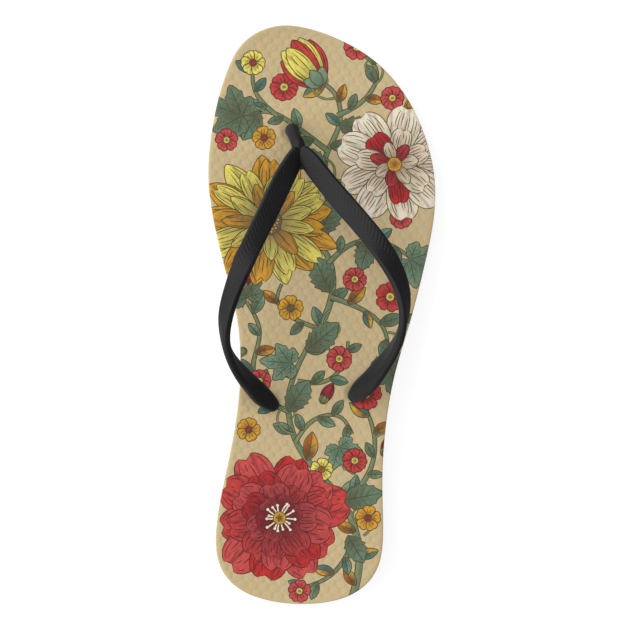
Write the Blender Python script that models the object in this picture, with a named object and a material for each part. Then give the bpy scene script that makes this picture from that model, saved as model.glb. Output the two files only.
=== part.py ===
"""Right flip-flop: a printed footbed on a black rubber outsole, and one moulded thong strap.

Frame: +Z up, +Y to the toe, -X to the big-toe (medial) side, +X to the little-toe (lateral) side.
The heel and the forefoot of the outsole stand on z = 0. Sizes below are in millimetres.
"""
import math

import bpy
import numpy as np

MM = 0.001

# --- Sole: plan outline ------------------------------------------------------------------------
HEEL_BACK = (-8.0, -131.0)          # rearmost point, x and y
TOE_TIP = (-17.5, 130.95)           # foremost point, x and y
OUTLINE = (
    # y, medial x, lateral x
    (-126.0, -34.0, 15.0),          # heel back corner
    (-114.0, -45.9, 25.7),
    (-96.0, -47.7, 28.0),           # widest heel
    (-74.0, -43.9, 27.7),
    (-50.0, -39.2, 29.3),
    (-26.0, -36.9, 33.6),           # waist
    (-2.0, -38.4, 40.6),
    (22.0, -44.2, 46.7),
    (42.0, -48.9, 50.7),
    (62.0, -51.35, 51.25),          # ball
    (82.0, -49.95, 46.5),
    (100.0, -46.25, 37.6),
    (114.0, -41.3, 25.2),
    (124.0, -34.6, 9.3),            # toe corner
)
TIP_TRIM = 0.12                     # end rows stop this far short of the two tips

# --- Sole: heights -----------------------------------------------------------------------------
HEEL_THICK = 18.0
BALL_THICK = 15.0
TOE_THICK = 12.0
HEEL_TO_BALL = (-62.0, 36.0)        # stretch in y over which heel thickness falls to ball thickness
BALL_TO_TOE = (78.0, 131.0)
TOE_SPRING = 5.0
SPRING_START = 80.0
HEEL_KICK = 1.0
KICK_START = -114.0
ARCH_LIFT = 1.6
ARCH_SPAN = (-48.0, 14.0)
FOOTBED_DISH = 0.8                  # how far the middle of the footbed lies below its edges
FOOTBED_THICK = 3.2
LAYER_GAP = 0.3

# --- Sole: edge profiles, as rows of inset from the outline and height --------------------------
OUTSOLE_FOOT = ((2.0, 0.0), (1.1, 1.0))             # inset, height above the underside
OUTSOLE_TOP_INSET = 0.35
FOOTBED_SHOULDER = ((0.0, 1.1), (0.25, 0.35), (1.0, 0.0))   # inset, depth below the top

# --- Sole: cross lugs --------------------------------------------------------------------------
GROOVE_PITCH = 8.6
GROOVE_WIDTH = 2.6
GROOVE_DEPTH = 1.5
GROOVE_SLOPE = 0.4                  # run of each sloping groove wall
GROOVE_FIELDS = ((-112.0, 7), (19.0, 10))           # y of first groove, number of grooves
STATIONS = 36                       # cross sections, before those of the grooves
COLUMNS = (0.0, 0.09, 0.11, 0.3, 0.5, 0.7, 0.89, 0.91, 1.0)
GROOVE_COLUMNS = (0, 0, 1, 1, 1, 1, 1, 0, 0)        # which columns the grooves cross

# --- Strap -------------------------------------------------------------------------------------
HOLES = {"toe": (-13.4, 83.3), "medial": (-22.4, -40.5), "lateral": (15.1, -36.4)}
STEM_RADIUS = 3.0
STEM_CLEARANCE = 0.4
PLUG_RADIUS = 8.5
PLUG_THICK = 2.6
PLUG_EDGE = 0.7                     # chamfer round the plug's face
PLUG_RECESS = 0.8                   # plug face above the underside of the outsole
SHOULDER_GAP = 0.5                  # arm end above the footbed at the middle of its hole
STEM_OVERLAP = 1.2                  # how far a side stem runs up into its arm
ARM_ROWS = {
    # x, y, z, width, thickness, roll of the outer face (-30 inward, 90 outward, 180 down), squareness
    "medial": (
        (-9.8, 75.0, 30.0, 6.6, 3.6, -30.0, 3.0),             # joint
        (-12.2, 70.3, 31.5, 8.9, 3.4, -34.0, 3.5),
        (-15.7, 63.9, 33.9, 9.9, 3.2, -27.0, 4.2),
        (-24.9, 44.8, 40.8, 9.6, 3.2, -12.0, 4.2),
        (-32.8, 28.5, 47.6, 9.5, 3.2, 8.0, 4.2),
        (-39.5, 12.2, 53.6, 9.8, 3.4, 43.0, 4.2),
        (-43.2, -1.5, 56.35, 9.8, 3.8, 62.0, 4.0),          # top of the arch
        (-43.5, -10.0, 55.2, 9.8, 4.0, 81.0, 3.8),          # widest
        (-41.8, -17.5, 50.8, 9.8, 4.0, 96.0, 3.5),
        (-36.8, -25.9, 42.0, 9.6, 4.2, 120.0, 3.2),
        (-30.9, -32.6, 31.0, 9.2, 4.9, 148.0, 2.8),
        (-26.0, -37.5, 22.5, 8.9, 6.0, 170.0, 2.3),
        (-22.4, -40.5, None, 6.8, 6.8, 180.0, 2.1),         # shoulder over the hole
    ),
    "lateral": (
        (-10.2, 75.4, 30.0, 5.6, 3.6, -22.0, 3.0),            # joint
        (-6.1, 70.4, 31.8, 9.0, 3.4, -26.0, 3.5),
        (-1.0, 63.7, 34.2, 9.9, 3.2, -25.0, 4.2),
        (14.75, 44.8, 41.5, 10.0, 3.2, -5.0, 4.2),
        (23.75, 33.9, 46.5, 9.9, 3.2, 9.0, 4.2),
        (31.0, 23.1, 50.8, 10.0, 3.3, 31.0, 4.2),
        (35.8, 12.2, 54.5, 9.9, 3.6, 53.0, 4.2),
        (37.25, 1.3, 56.35, 9.8, 3.8, 76.0, 4.0),            # top of the arch, widest
        (36.25, -6.5, 55.0, 9.8, 4.0, 92.0, 3.8),
        (32.9, -15.0, 50.0, 9.8, 4.2, 108.0, 3.5),
        (27.3, -23.0, 41.5, 9.7, 4.4, 131.0, 3.2),
        (21.7, -30.0, 31.5, 9.5, 5.0, 155.0, 2.8),
        (17.4, -34.1, 23.0, 8.8, 6.0, 172.0, 2.3),
        (15.1, -36.4, None, 6.8, 6.8, 180.0, 2.1),          # shoulder over the hole
    ),
}
POST_ROWS = (
    # x, y, z, radius of the toe post, from inside its hole up to the joint of the arms
    (-13.4, 83.3, 11.0, 3.0),
    (-13.4, 83.3, 16.2, 3.0),
    (-12.7, 81.7, 20.9, 3.0),
    (-11.5, 78.9, 26.0, 2.95),
    (-10.2, 75.5, 29.6, 2.9),
    (-9.9, 73.6, 30.3, 2.3),
)
WEB = {"centre": (-9.3, 70.3, 28.9), "radii": (4.2, 5.0, 1.5), "pitch": 14.0}
ARM_SECTIONS = 34
POST_SECTIONS = 10
BAND_SIDES = 14
ROUND_SIDES = 20


# --- Curves ------------------------------------------------------------------------------------
def spline(rows, count, closed=False):
    """Cubic spline through the rows, at even steps of a knot that grows with the chord.

    The first columns are a position, and any further ones are carried along with it. A closed
    curve's knots grow with the root of the chord, which keeps its tight corners from bulging.
    """
    points = np.array(rows, dtype=float)
    if closed:
        points = np.vstack([points, points[:1]])
    steps = np.linalg.norm(np.diff(points[:, :3], axis=0), axis=1)
    if closed:
        steps = np.sqrt(steps)
    knots = np.concatenate([[0.0], np.cumsum(steps)])
    last = len(points) - 1
    matrix = np.zeros((last + 1, last + 1))
    right = np.zeros((last + 1, points.shape[1]))
    slopes = np.diff(points, axis=0) / steps[:, None]
    for i in range(1, last):
        matrix[i, i - 1:i + 2] = steps[i - 1], 2.0 * (steps[i - 1] + steps[i]), steps[i]
        right[i] = 6.0 * (slopes[i] - slopes[i - 1])
    if closed:
        matrix[0, [0, 1, last - 1]] = 2.0 * (steps[0] + steps[-1]), steps[0], steps[-1]
        right[0] = 6.0 * (slopes[0] - slopes[-1])
        matrix[last, [0, last]] = 1.0, -1.0
    else:
        matrix[0, 0] = matrix[last, last] = 1.0
    bend = np.linalg.solve(matrix, right)
    at = np.linspace(0.0, knots[-1], count, endpoint=not closed)
    i = np.clip(np.searchsorted(knots, at, side="right") - 1, 0, last - 1)
    span = steps[i][:, None]
    after = (at - knots[i])[:, None]
    before = span - after
    return (
        (bend[i] * before ** 3 + bend[i + 1] * after ** 3) / (6.0 * span)
        + (points[i] / span - bend[i] * span / 6.0) * before
        + (points[i + 1] / span - bend[i + 1] * span / 6.0) * after
    )


def smooth_step(low, high, value):
    """0 below low, 1 above high, with level ends between."""
    t = np.clip((np.asarray(value, dtype=float) - low) / (high - low), 0.0, 1.0)
    return t * t * (3.0 - 2.0 * t)


def sole_edges():
    """The outline as two curves from heel to toe: medial and lateral, each as (x, y) rows."""
    lateral = [(row[2], row[0]) for row in OUTLINE]
    medial = [(row[1], row[0]) for row in reversed(OUTLINE)]
    loop = spline([HEEL_BACK, *lateral, TOE_TIP, *medial], 1200, closed=True)
    loop = np.roll(loop, -int(np.argmin(loop[:, 1])), axis=0)
    tip = int(np.argmax(loop[:, 1]))
    medial_curve = np.vstack([loop[tip:], loop[:1]])[::-1]
    return medial_curve, loop[:tip + 1]


MEDIAL_EDGE, LATERAL_EDGE = sole_edges()


def edge_x(y):
    """Medial and lateral x of the outline at y."""
    return (
        np.interp(y, MEDIAL_EDGE[:, 1], MEDIAL_EDGE[:, 0]),
        np.interp(y, LATERAL_EDGE[:, 1], LATERAL_EDGE[:, 0]),
    )


# --- Heights of the sole's surfaces --------------------------------------------------------------
def spring(y):
    """Rise of the underside at the toe and, slightly, at the heel."""
    toe = np.clip((y - SPRING_START) / (TOE_TIP[1] - SPRING_START), 0.0, None)
    heel = np.clip((KICK_START - y) / (KICK_START - HEEL_BACK[1]), 0.0, None)
    return TOE_SPRING * toe ** 2 + HEEL_KICK * heel ** 2


def underside(_x, y):
    """Bottom of the outsole, level across: flat at heel and forefoot, lifted at waist and ends."""
    back, front = ARCH_SPAN
    t = np.clip((y - back) / (front - back), 0.0, 1.0)
    return spring(y) + ARCH_LIFT * np.sin(np.pi * t) ** 2


def footbed_top(x, y):
    """Top of the footbed, with a shallow dish across its width."""
    thick = HEEL_THICK + (BALL_THICK - HEEL_THICK) * smooth_step(*HEEL_TO_BALL, y)
    thick = thick + (TOE_THICK - BALL_THICK) * smooth_step(*BALL_TO_TOE, y)
    left, right = edge_x(y)
    across = np.clip((x - left) / np.maximum(right - left, 1.0), 0.0, 1.0) * 2.0 - 1.0
    fade = smooth_step(0.0, 40.0, right - left)
    return spring(y) + thick - FOOTBED_DISH * fade * (1.0 - across ** 2)


def layer_line(x, y):
    """Underside of the footbed layer."""
    return footbed_top(x, y) - FOOTBED_THICK


def outsole_top(x, y):
    """Top of the outsole, a gap below the footbed layer."""
    return layer_line(x, y) - LAYER_GAP


# --- Mesh helpers --------------------------------------------------------------------------------
def add_object(name, points, faces):
    """New object from points in millimetres and faces."""
    mesh = bpy.data.meshes.new(name)
    mesh.from_pydata([tuple(float(c) * MM for c in p) for p in points], [], [tuple(f) for f in faces])
    mesh.update()
    mesh.shade_smooth()
    mesh.set_sharp_from_angle(angle=math.radians(40.0))
    obj = bpy.data.objects.new(name, mesh)
    bpy.context.scene.collection.objects.link(obj)
    return obj


def tube(name, rings):
    """Closed solid through rings of equal length, ordered so that its faces point out."""
    sides = len(rings[0])
    points = [p for ring in rings for p in ring]
    faces = []
    for r in range(len(rings) - 1):
        for s in range(sides):
            a, b = r * sides + s, r * sides + (s + 1) % sides
            faces.append((a, b, b + sides, a + sides))
    faces.append(tuple(reversed(range(sides))))
    faces.append(tuple(range(len(points) - sides, len(points))))
    return add_object(name, points, faces)


def turned(name, profile, centre):
    """Solid turned about a vertical axis at centre, from rows of radius and z, bottom to top."""
    angles = np.arange(ROUND_SIDES) * 2.0 * np.pi / ROUND_SIDES
    rings = [
        np.column_stack([
            centre[0] + radius * np.cos(angles),
            centre[1] + radius * np.sin(angles),
            np.full(ROUND_SIDES, z),
        ])
        for radius, z in profile
    ]
    return tube(name, rings)


def combine(obj, other, operation):
    """Boolean of another object onto this one; the other becomes a hidden guide."""
    other.hide_render = True
    other.display_type = "WIRE"
    modifier = obj.modifiers.new(f"{operation.title()} {other.name}", "BOOLEAN")
    modifier.operation = operation
    modifier.solver = "EXACT"
    modifier.object = other


def dress(obj, name, colour, roughness):
    """One Principled material for the whole object."""
    material = bpy.data.materials.new(name)
    material.use_nodes = True
    shader = material.node_tree.nodes["Principled BSDF"]
    shader.inputs["Base Color"].default_value = (*colour, 1.0)
    shader.inputs["Roughness"].default_value = roughness
    shader.inputs["Metallic"].default_value = 0.0
    obj.data.materials.append(material)


# --- Sole layers ---------------------------------------------------------------------------------
def cross_sections(with_grooves):
    """Rows of y and groove depth, close together at the tips."""
    half = (TOE_TIP[1] - HEEL_BACK[1]) / 2.0 - TIP_TRIM
    middle = (TOE_TIP[1] + HEEL_BACK[1]) / 2.0
    rows = [(middle - half * math.cos(math.pi * i / (STATIONS - 1)), 0.0) for i in range(STATIONS)]
    if not with_grooves:
        return rows
    for first, count in GROOVE_FIELDS:
        last = first + (count - 1) * GROOVE_PITCH + GROOVE_WIDTH
        rows = [row for row in rows if not first - 2.0 < row[0] < last + 2.0]
        for i in range(count):
            start = first + i * GROOVE_PITCH
            end = start + GROOVE_WIDTH
            rows += [(start, 0.0), (start + GROOVE_SLOPE, GROOVE_DEPTH)]
            rows += [(end - GROOVE_SLOPE, GROOVE_DEPTH), (end, 0.0)]
    return sorted(rows)


def rim_indices(rows, columns):
    """Indices round the edge of a grid: up the medial side, over the toe, down the lateral side."""
    up = [r * columns for r in range(rows)]
    over = [(rows - 1) * columns + c for c in range(1, columns)]
    down = [r * columns + columns - 1 for r in range(rows - 2, -1, -1)]
    back = list(range(columns - 2, 0, -1))
    return up + over + down + back


def inset_loop(loop, distance):
    """The closed plan loop, moved inward by a distance."""
    along = np.roll(loop, -1, axis=0) - np.roll(loop, 1, axis=0)
    along /= np.linalg.norm(along, axis=1)[:, None]
    return loop + distance * np.column_stack([along[:, 1], -along[:, 0]])


def sole_layer(name, sections, bottom_rings, top_rings, bottom, top):
    """Closed layer of the sole. Rings are (inset, z function) from the bottom to the top."""
    rows, columns = len(sections), len(COLUMNS)
    y = np.array([row[0] for row in sections])
    left, right = edge_x(y)
    across = np.array(COLUMNS)
    grid_x = left[:, None] + (right - left)[:, None] * across[None, :]
    grid = np.column_stack([grid_x.ravel(), np.repeat(y, columns)])
    rim = rim_indices(rows, columns)
    outline = grid[rim]
    rings = []
    for inset, height in [*bottom_rings, *top_rings]:
        loop = inset_loop(outline, inset)
        rings.append(np.column_stack([loop, height(loop[:, 0], loop[:, 1])]))

    def plate(ring, height):
        """Grid inside a ring, whose rim is the ring itself."""
        plan = grid.copy()
        plan[rim] = ring[:, :2]
        plan = plan.reshape(rows, columns, 2)
        plan[1:-1] = plan[1:-1, :1] + (plan[1:-1, -1:] - plan[1:-1, :1]) * across[None, :, None]
        plan = plan.reshape(-1, 2)
        return np.column_stack([plan, height(plan[:, 0], plan[:, 1])])

    lower = plate(rings[0], bottom)
    depth = np.array([row[1] for row in sections])[:, None] * np.array(GROOVE_COLUMNS)[None, :]
    lower[:, 2] += depth.ravel()
    upper = plate(rings[-1], top)
    points = [*lower, *upper]
    faces = []
    for r in range(rows - 1):
        for c in range(columns - 1):
            a = r * columns + c
            quad = (a, a + 1, a + 1 + columns, a + columns)
            faces.append(tuple(reversed(quad)))
            faces.append(tuple(i + len(lower) for i in quad))
    loops = [rim]
    for ring in rings[1:-1]:
        loops.append(list(range(len(points), len(points) + len(ring))))
        points += [*ring]
    loops.append([i + len(lower) for i in rim])
    for low, high in zip(loops, loops[1:]):
        for i in range(len(rim)):
            j = (i + 1) % len(rim)
            faces.append((low[i], high[i], high[j], low[j]))
    return add_object(name, points, faces)


def build_outsole():
    """Black rubber layer with the cross lugs."""
    foot = [(inset, lambda x, y, rise=rise: underside(x, y) + rise) for inset, rise in OUTSOLE_FOOT]
    rim = [(OUTSOLE_TOP_INSET, outsole_top)]
    obj = sole_layer("outsole", cross_sections(True), foot, rim, underside, outsole_top)
    dress(obj, "black_sole_rubber", (0.012, 0.012, 0.013), 0.6)
    return obj


def build_footbed():
    """Printed top layer with a rounded shoulder."""
    foot = [(OUTSOLE_TOP_INSET, layer_line)]
    rim = [(inset, lambda x, y, drop=drop: footbed_top(x, y) - drop) for inset, drop in FOOTBED_SHOULDER]
    obj = sole_layer("footbed", cross_sections(False), foot, rim, layer_line, footbed_top)
    dress(obj, "printed_footbed", (0.56, 0.40, 0.19), 0.55)
    return obj


# --- Strap ---------------------------------------------------------------------------------------
def plug_heights(centre):
    """Underside at a hole, and the bottom and top of the plug in it."""
    floor = float(underside(centre[0], centre[1]))
    return floor, floor + PLUG_RECESS, floor + PLUG_RECESS + PLUG_THICK


def hole_cutter(name, centre):
    """Stem hole with the counterbore that the plug sits in."""
    floor, _, plug_top = plug_heights(centre)
    stem = STEM_RADIUS + STEM_CLEARANCE
    bore = PLUG_RADIUS + STEM_CLEARANCE
    shelf = plug_top + STEM_CLEARANCE
    above = float(footbed_top(*centre)) + 2.0
    return turned(f"cut_{name}", ((bore, floor - 2.0), (bore, shelf), (stem, shelf), (stem, above)), centre)


def plug_and_stem(name, centre):
    """Plug disc under the sole and the stem that rises through it."""
    _, low, high = plug_heights(centre)
    stem_top = float(footbed_top(*centre)) + (-STEM_OVERLAP if name == "toe" else STEM_OVERLAP)
    profile = (
        (PLUG_RADIUS - PLUG_EDGE, low),
        (PLUG_RADIUS, low + PLUG_EDGE),
        (PLUG_RADIUS, high),
        (STEM_RADIUS, high),
        (STEM_RADIUS, stem_top),
    )
    return turned(f"stem_{name}", profile, centre)


def headings(points):
    """Plan direction of travel at each row, from the row before to the row after."""
    found = []
    for i in range(len(points)):
        step = points[min(i + 1, len(points) - 1), :2] - points[max(i - 1, 0), :2]
        found.append(math.atan2(step[1], step[0]))
    return np.unwrap(found)


def band_section(width, thickness, squareness):
    """Superellipse across the band, as offsets along its width and out of its outer face."""
    angles = (np.arange(BAND_SIDES) + 0.5) * 2.0 * np.pi / BAND_SIDES
    cosine, sine = np.cos(angles), np.sin(angles)
    power = 2.0 / squareness
    return (
        width / 2.0 * np.sign(cosine) * np.abs(cosine) ** power,
        thickness / 2.0 * np.sign(sine) * np.abs(sine) ** power,
    )


def arm(name, side):
    """One arm of the thong, from the joint to its shoulder on the footbed."""
    rows = [list(row) for row in ARM_ROWS[name]]
    rows[-1][2] = float(footbed_top(rows[-1][0], rows[-1][1])) + SHOULDER_GAP
    table = np.array(rows)
    table = np.column_stack([table, headings(table)])
    path = spline(table, ARM_SECTIONS)
    tangents = np.gradient(path[:, :3], axis=0)
    tangents[-1] = (0.0, 0.0, -1.0)
    tangents /= np.linalg.norm(tangents, axis=1)[:, None]
    rings = []
    for row, tangent in zip(path, tangents):
        centre, heading, roll = row[:3], row[7], math.radians(row[5])
        outward = side * np.array((-math.sin(heading), math.cos(heading), 0.0))
        outward -= tangent * outward.dot(tangent)
        outward /= np.linalg.norm(outward)
        up = -side * np.cross(outward, tangent)
        across = math.cos(roll) * outward - math.sin(roll) * up
        out = math.cos(roll) * up + math.sin(roll) * outward
        u, v = band_section(row[3], row[4], row[6])
        ring = centre + u[:, None] * across + v[:, None] * out
        rings.append(ring if side > 0 else ring[::-1])
    return tube(f"arm_{name}", rings)


def post():
    """Toe post: a round stalk that leans back from its hole to the joint of the arms."""
    path = spline(POST_ROWS, POST_SECTIONS)
    tangents = np.gradient(path[:, :3], axis=0)
    tangents[0] = (0.0, 0.0, 1.0)
    angles = np.arange(ROUND_SIDES) * 2.0 * np.pi / ROUND_SIDES
    rings = []
    for row, tangent in zip(path, tangents):
        tangent = tangent / np.linalg.norm(tangent)
        first = np.cross((0.0, 1.0, 0.0), tangent)
        first /= np.linalg.norm(first)
        second = np.cross(tangent, first)
        circle = np.cos(angles)[:, None] * first + np.sin(angles)[:, None] * second
        rings.append(row[:3] + row[3] * circle)
    return tube("post", rings)


def web():
    """Thin gusset that fills the fork between the arms."""
    bpy.ops.mesh.primitive_uv_sphere_add(segments=ROUND_SIDES, ring_count=10, radius=1.0)
    obj = bpy.context.object
    obj.name = "web"
    obj.scale = [r * MM for r in WEB["radii"]]
    obj.rotation_euler = (math.radians(-WEB["pitch"]), 0.0, 0.0)
    obj.location = [c * MM for c in WEB["centre"]]
    return obj


def build_strap():
    """The whole thong as one solid."""
    obj = arm("medial", -1.0)
    obj.name = "strap"
    for piece in [arm("lateral", 1.0), web(), post(), *(plug_and_stem(n, c) for n, c in HOLES.items())]:
        combine(obj, piece, "UNION")
    dress(obj, "black_strap_rubber", (0.014, 0.014, 0.015), 0.45)
    return obj


def main():
    """Clear the scene and build the three pieces."""
    for obj in list(bpy.data.objects):
        bpy.data.objects.remove(obj, do_unlink=True)
    outsole = build_outsole()
    footbed = build_footbed()
    for name, centre in HOLES.items():
        cutter = hole_cutter(name, centre)
        combine(outsole, cutter, "DIFFERENCE")
        combine(footbed, cutter, "DIFFERENCE")
    build_strap()


main()
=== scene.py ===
"""Right flip-flop: a flower-printed foam footbed, a black rubber outsole and a thong strap.

Lengths are in millimetres and become metres when a mesh is made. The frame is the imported
model's: +Z up, +Y to the toe, -X to the big-toe (medial) side, +X to the little-toe side.
"""
import logging
import math
from collections.abc import Callable, Sequence
from dataclasses import dataclass, field, replace
from enum import Enum

import bpy
import numpy as np
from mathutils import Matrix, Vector
from mathutils.geometry import delaunay_2d_cdt


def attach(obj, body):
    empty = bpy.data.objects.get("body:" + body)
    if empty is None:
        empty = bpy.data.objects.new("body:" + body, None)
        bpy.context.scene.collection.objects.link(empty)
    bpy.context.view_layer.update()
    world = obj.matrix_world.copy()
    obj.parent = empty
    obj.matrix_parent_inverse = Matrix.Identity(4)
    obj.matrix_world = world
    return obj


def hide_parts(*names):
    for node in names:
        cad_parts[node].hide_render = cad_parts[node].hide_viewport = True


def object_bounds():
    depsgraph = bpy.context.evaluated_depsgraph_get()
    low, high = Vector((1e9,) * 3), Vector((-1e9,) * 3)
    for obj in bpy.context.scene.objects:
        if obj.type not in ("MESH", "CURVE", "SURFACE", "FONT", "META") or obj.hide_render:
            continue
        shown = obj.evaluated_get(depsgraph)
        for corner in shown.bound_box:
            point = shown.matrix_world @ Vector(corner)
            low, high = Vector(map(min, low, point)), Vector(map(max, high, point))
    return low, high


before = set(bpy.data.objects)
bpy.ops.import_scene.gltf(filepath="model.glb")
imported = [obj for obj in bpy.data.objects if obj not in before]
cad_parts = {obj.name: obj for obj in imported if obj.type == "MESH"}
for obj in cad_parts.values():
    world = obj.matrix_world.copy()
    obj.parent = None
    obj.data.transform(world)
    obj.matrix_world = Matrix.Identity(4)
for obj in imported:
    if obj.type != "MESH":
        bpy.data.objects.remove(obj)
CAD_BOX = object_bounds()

MM = 0.001
BODY = "root"
LOG = logging.getLogger("flip_flop")
Array = np.ndarray
Spot = tuple[float, float]
Triple = tuple[float, float, float]
Piece = bpy.types.Object

TINY = 1e-9  # keeps a length or an area of nothing out of a division
JOIN_WITHIN = 1e-5  # plan points this near become one
HOLES: dict[str, Spot] = {"toe": (-13.4, 83.3), "medial": (-22.4, -40.5), "lateral": (15.1, -36.4)}


# --- Curves and plan geometry --------------------------------------------------------------------
def smooth_step(low: float, high: float, value: Array | float) -> Array:
    """0 below low, 1 above high, 3t^2 - 2t^3 between."""
    t = np.clip((np.asarray(value, dtype=float) - low) / (high - low), 0.0, 1.0)
    return t * t * (3.0 - 2.0 * t)


def signed_power(value: Array, power: Array | float) -> Array:
    """A power of each value's size, with the value's sign."""
    return np.sign(value) * np.abs(value) ** power


def unit(vectors: Array) -> Array:
    """Each row divided by its length."""
    return vectors / np.linalg.norm(vectors, axis=-1, keepdims=True)


def cubic(rows: Sequence, count: int, closed: bool = False) -> Array:
    """Cubic spline through rows, at even steps of a knot that grows with the chord.

    Between two knots each column is the cubic whose second derivative runs straight from one
    knot's bend to the next; the bends solve the usual three-term equations for a smooth slope.

    Args:
        rows: positions in the first columns, and further columns that are carried along.
        count: number of rows wanted.
        closed: joins the last row to the first; the knots then grow with the root of the chord.

    Returns:
        count rows on the curve.
    """
    points = np.array(rows, dtype=float)
    if closed:
        points = np.vstack([points, points[:1]])
    steps = np.linalg.norm(np.diff(points[:, :3], axis=0), axis=1)
    if closed:
        steps = np.sqrt(steps)
    knots = np.concatenate([[0.0], np.cumsum(steps)])
    last = len(points) - 1
    matrix = np.zeros((last + 1, last + 1))
    right = np.zeros((last + 1, points.shape[1]))
    slopes = np.diff(points, axis=0) / steps[:, None]
    inner = np.arange(1, last)
    matrix[inner, inner - 1] = steps[:-1]
    matrix[inner, inner] = 2.0 * (steps[:-1] + steps[1:])
    matrix[inner, inner + 1] = steps[1:]
    right[1:last] = 6.0 * np.diff(slopes, axis=0)
    if closed:
        matrix[0, [0, 1, last - 1]] = 2.0 * (steps[0] + steps[-1]), steps[0], steps[-1]
        right[0] = 6.0 * (slopes[0] - slopes[-1])
        matrix[last, [0, last]] = 1.0, -1.0
    else:
        matrix[0, 0] = matrix[last, last] = 1.0
    bend = np.linalg.solve(matrix, right)
    at = np.linspace(0.0, knots[-1], count, endpoint=not closed)
    i = np.clip(np.searchsorted(knots, at, side="right") - 1, 0, last - 1)
    span = steps[i][:, None]
    after = (at - knots[i])[:, None]
    before = span - after
    return (
        (bend[i] * before**3 + bend[i + 1] * after**3) / (6.0 * span)
        + (points[i] / span - bend[i] * span / 6.0) * before
        + (points[i + 1] / span - bend[i + 1] * span / 6.0) * after
    )


def arc_lengths(points: Array) -> Array:
    """Distance along a polyline at each of its points."""
    return np.concatenate([[0.0], np.cumsum(np.linalg.norm(np.diff(points, axis=0), axis=1))])


def at_lengths(rows: Array, wanted: Array, columns: int = 3) -> Array:
    """Rows of a dense polyline at the wanted distances along its first columns."""
    along = arc_lengths(rows[:, :columns])
    return np.column_stack([np.interp(wanted, along, rows[:, c]) for c in range(rows.shape[1])])


def turned(points: Array, degrees: float) -> Array:
    """Plan points turned about the origin, anticlockwise."""
    a = math.radians(degrees)
    return points @ np.array([[math.cos(a), math.sin(a)], [-math.sin(a), math.cos(a)]])


def grown(loop: Array, by: float) -> Array:
    """Closed anticlockwise loop, each point moved out along the mean of its two edge normals.

    Args:
        loop: closed anticlockwise loop.
        by: distance to move out.

    Returns:
        Loop moved out.
    """
    edges = unit(np.roll(loop, -1, axis=0) - loop + TINY)
    normals = np.column_stack([edges[:, 1], -edges[:, 0]])
    return loop + by * unit(normals + np.roll(normals, 1, axis=0) + TINY)


def anticlockwise(loop: Array) -> Array:
    """The loop, reversed if its signed area is negative.

    Args:
        loop: closed anticlockwise loop.

    Returns:
        The loop, anticlockwise.
    """
    x, y = loop[:, 0], loop[:, 1]
    area = np.sum(x * np.roll(y, -1) - np.roll(x, -1) * y)
    return loop if area > 0 else loop[::-1]


def inside(points: Array, loop: Array) -> Array:
    """Which points lie inside a loop: a ray to the right crosses its edges an odd number of times.

    Args:
        points: points in plan.
        loop: closed anticlockwise loop.

    Returns:
        One flag a point.
    """
    a, b = loop, np.roll(loop, -1, axis=0)
    x, y = points[:, 0][:, None], points[:, 1][:, None]
    spans = (a[:, 1] > y) != (b[:, 1] > y)
    run = (b[:, 0] - a[:, 0]) * (y - a[:, 1]) / np.where(b[:, 1] == a[:, 1], 1.0, b[:, 1] - a[:, 1])
    return (np.sum(spans & (x < run + a[:, 0]), axis=1) % 2).astype(bool)


def inside_box(points: Array, loop: Array) -> Array:
    """Indices of the points inside the loop, looked for only within its bounding box.

    Args:
        points: points in plan.
        loop: closed anticlockwise loop.

    Returns:
        Their indices.
    """
    low, high = loop.min(0), loop.max(0)
    near = np.flatnonzero(np.all((points >= low) & (points <= high), axis=1))
    return near[inside(points[near], loop)] if len(near) else near


def ring_edges(count: int, first: int = 0) -> Array:
    """Index pairs that join count points into a closed loop."""
    here = np.arange(count)
    return np.column_stack([here, (here + 1) % count]) + first


def circle(centre: Spot, radius: float, count: int) -> Array:
    """Anticlockwise circle of points in plan."""
    angles = np.arange(count) * 2.0 * np.pi / count
    return np.array(centre) + radius * np.column_stack([np.cos(angles), np.sin(angles)])


def grid_points(across: Array, along: Array) -> Array:
    """Every pair of an x from across and a y from along, x changing first."""
    return np.stack(np.meshgrid(across, along), -1).reshape(-1, 2)


def hole_distance(plan: Array) -> Array:
    """Distance to the middle of the nearest stem hole."""
    return np.min([np.linalg.norm(plan - np.array(c), axis=1) for c in HOLES.values()], axis=0)


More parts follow.
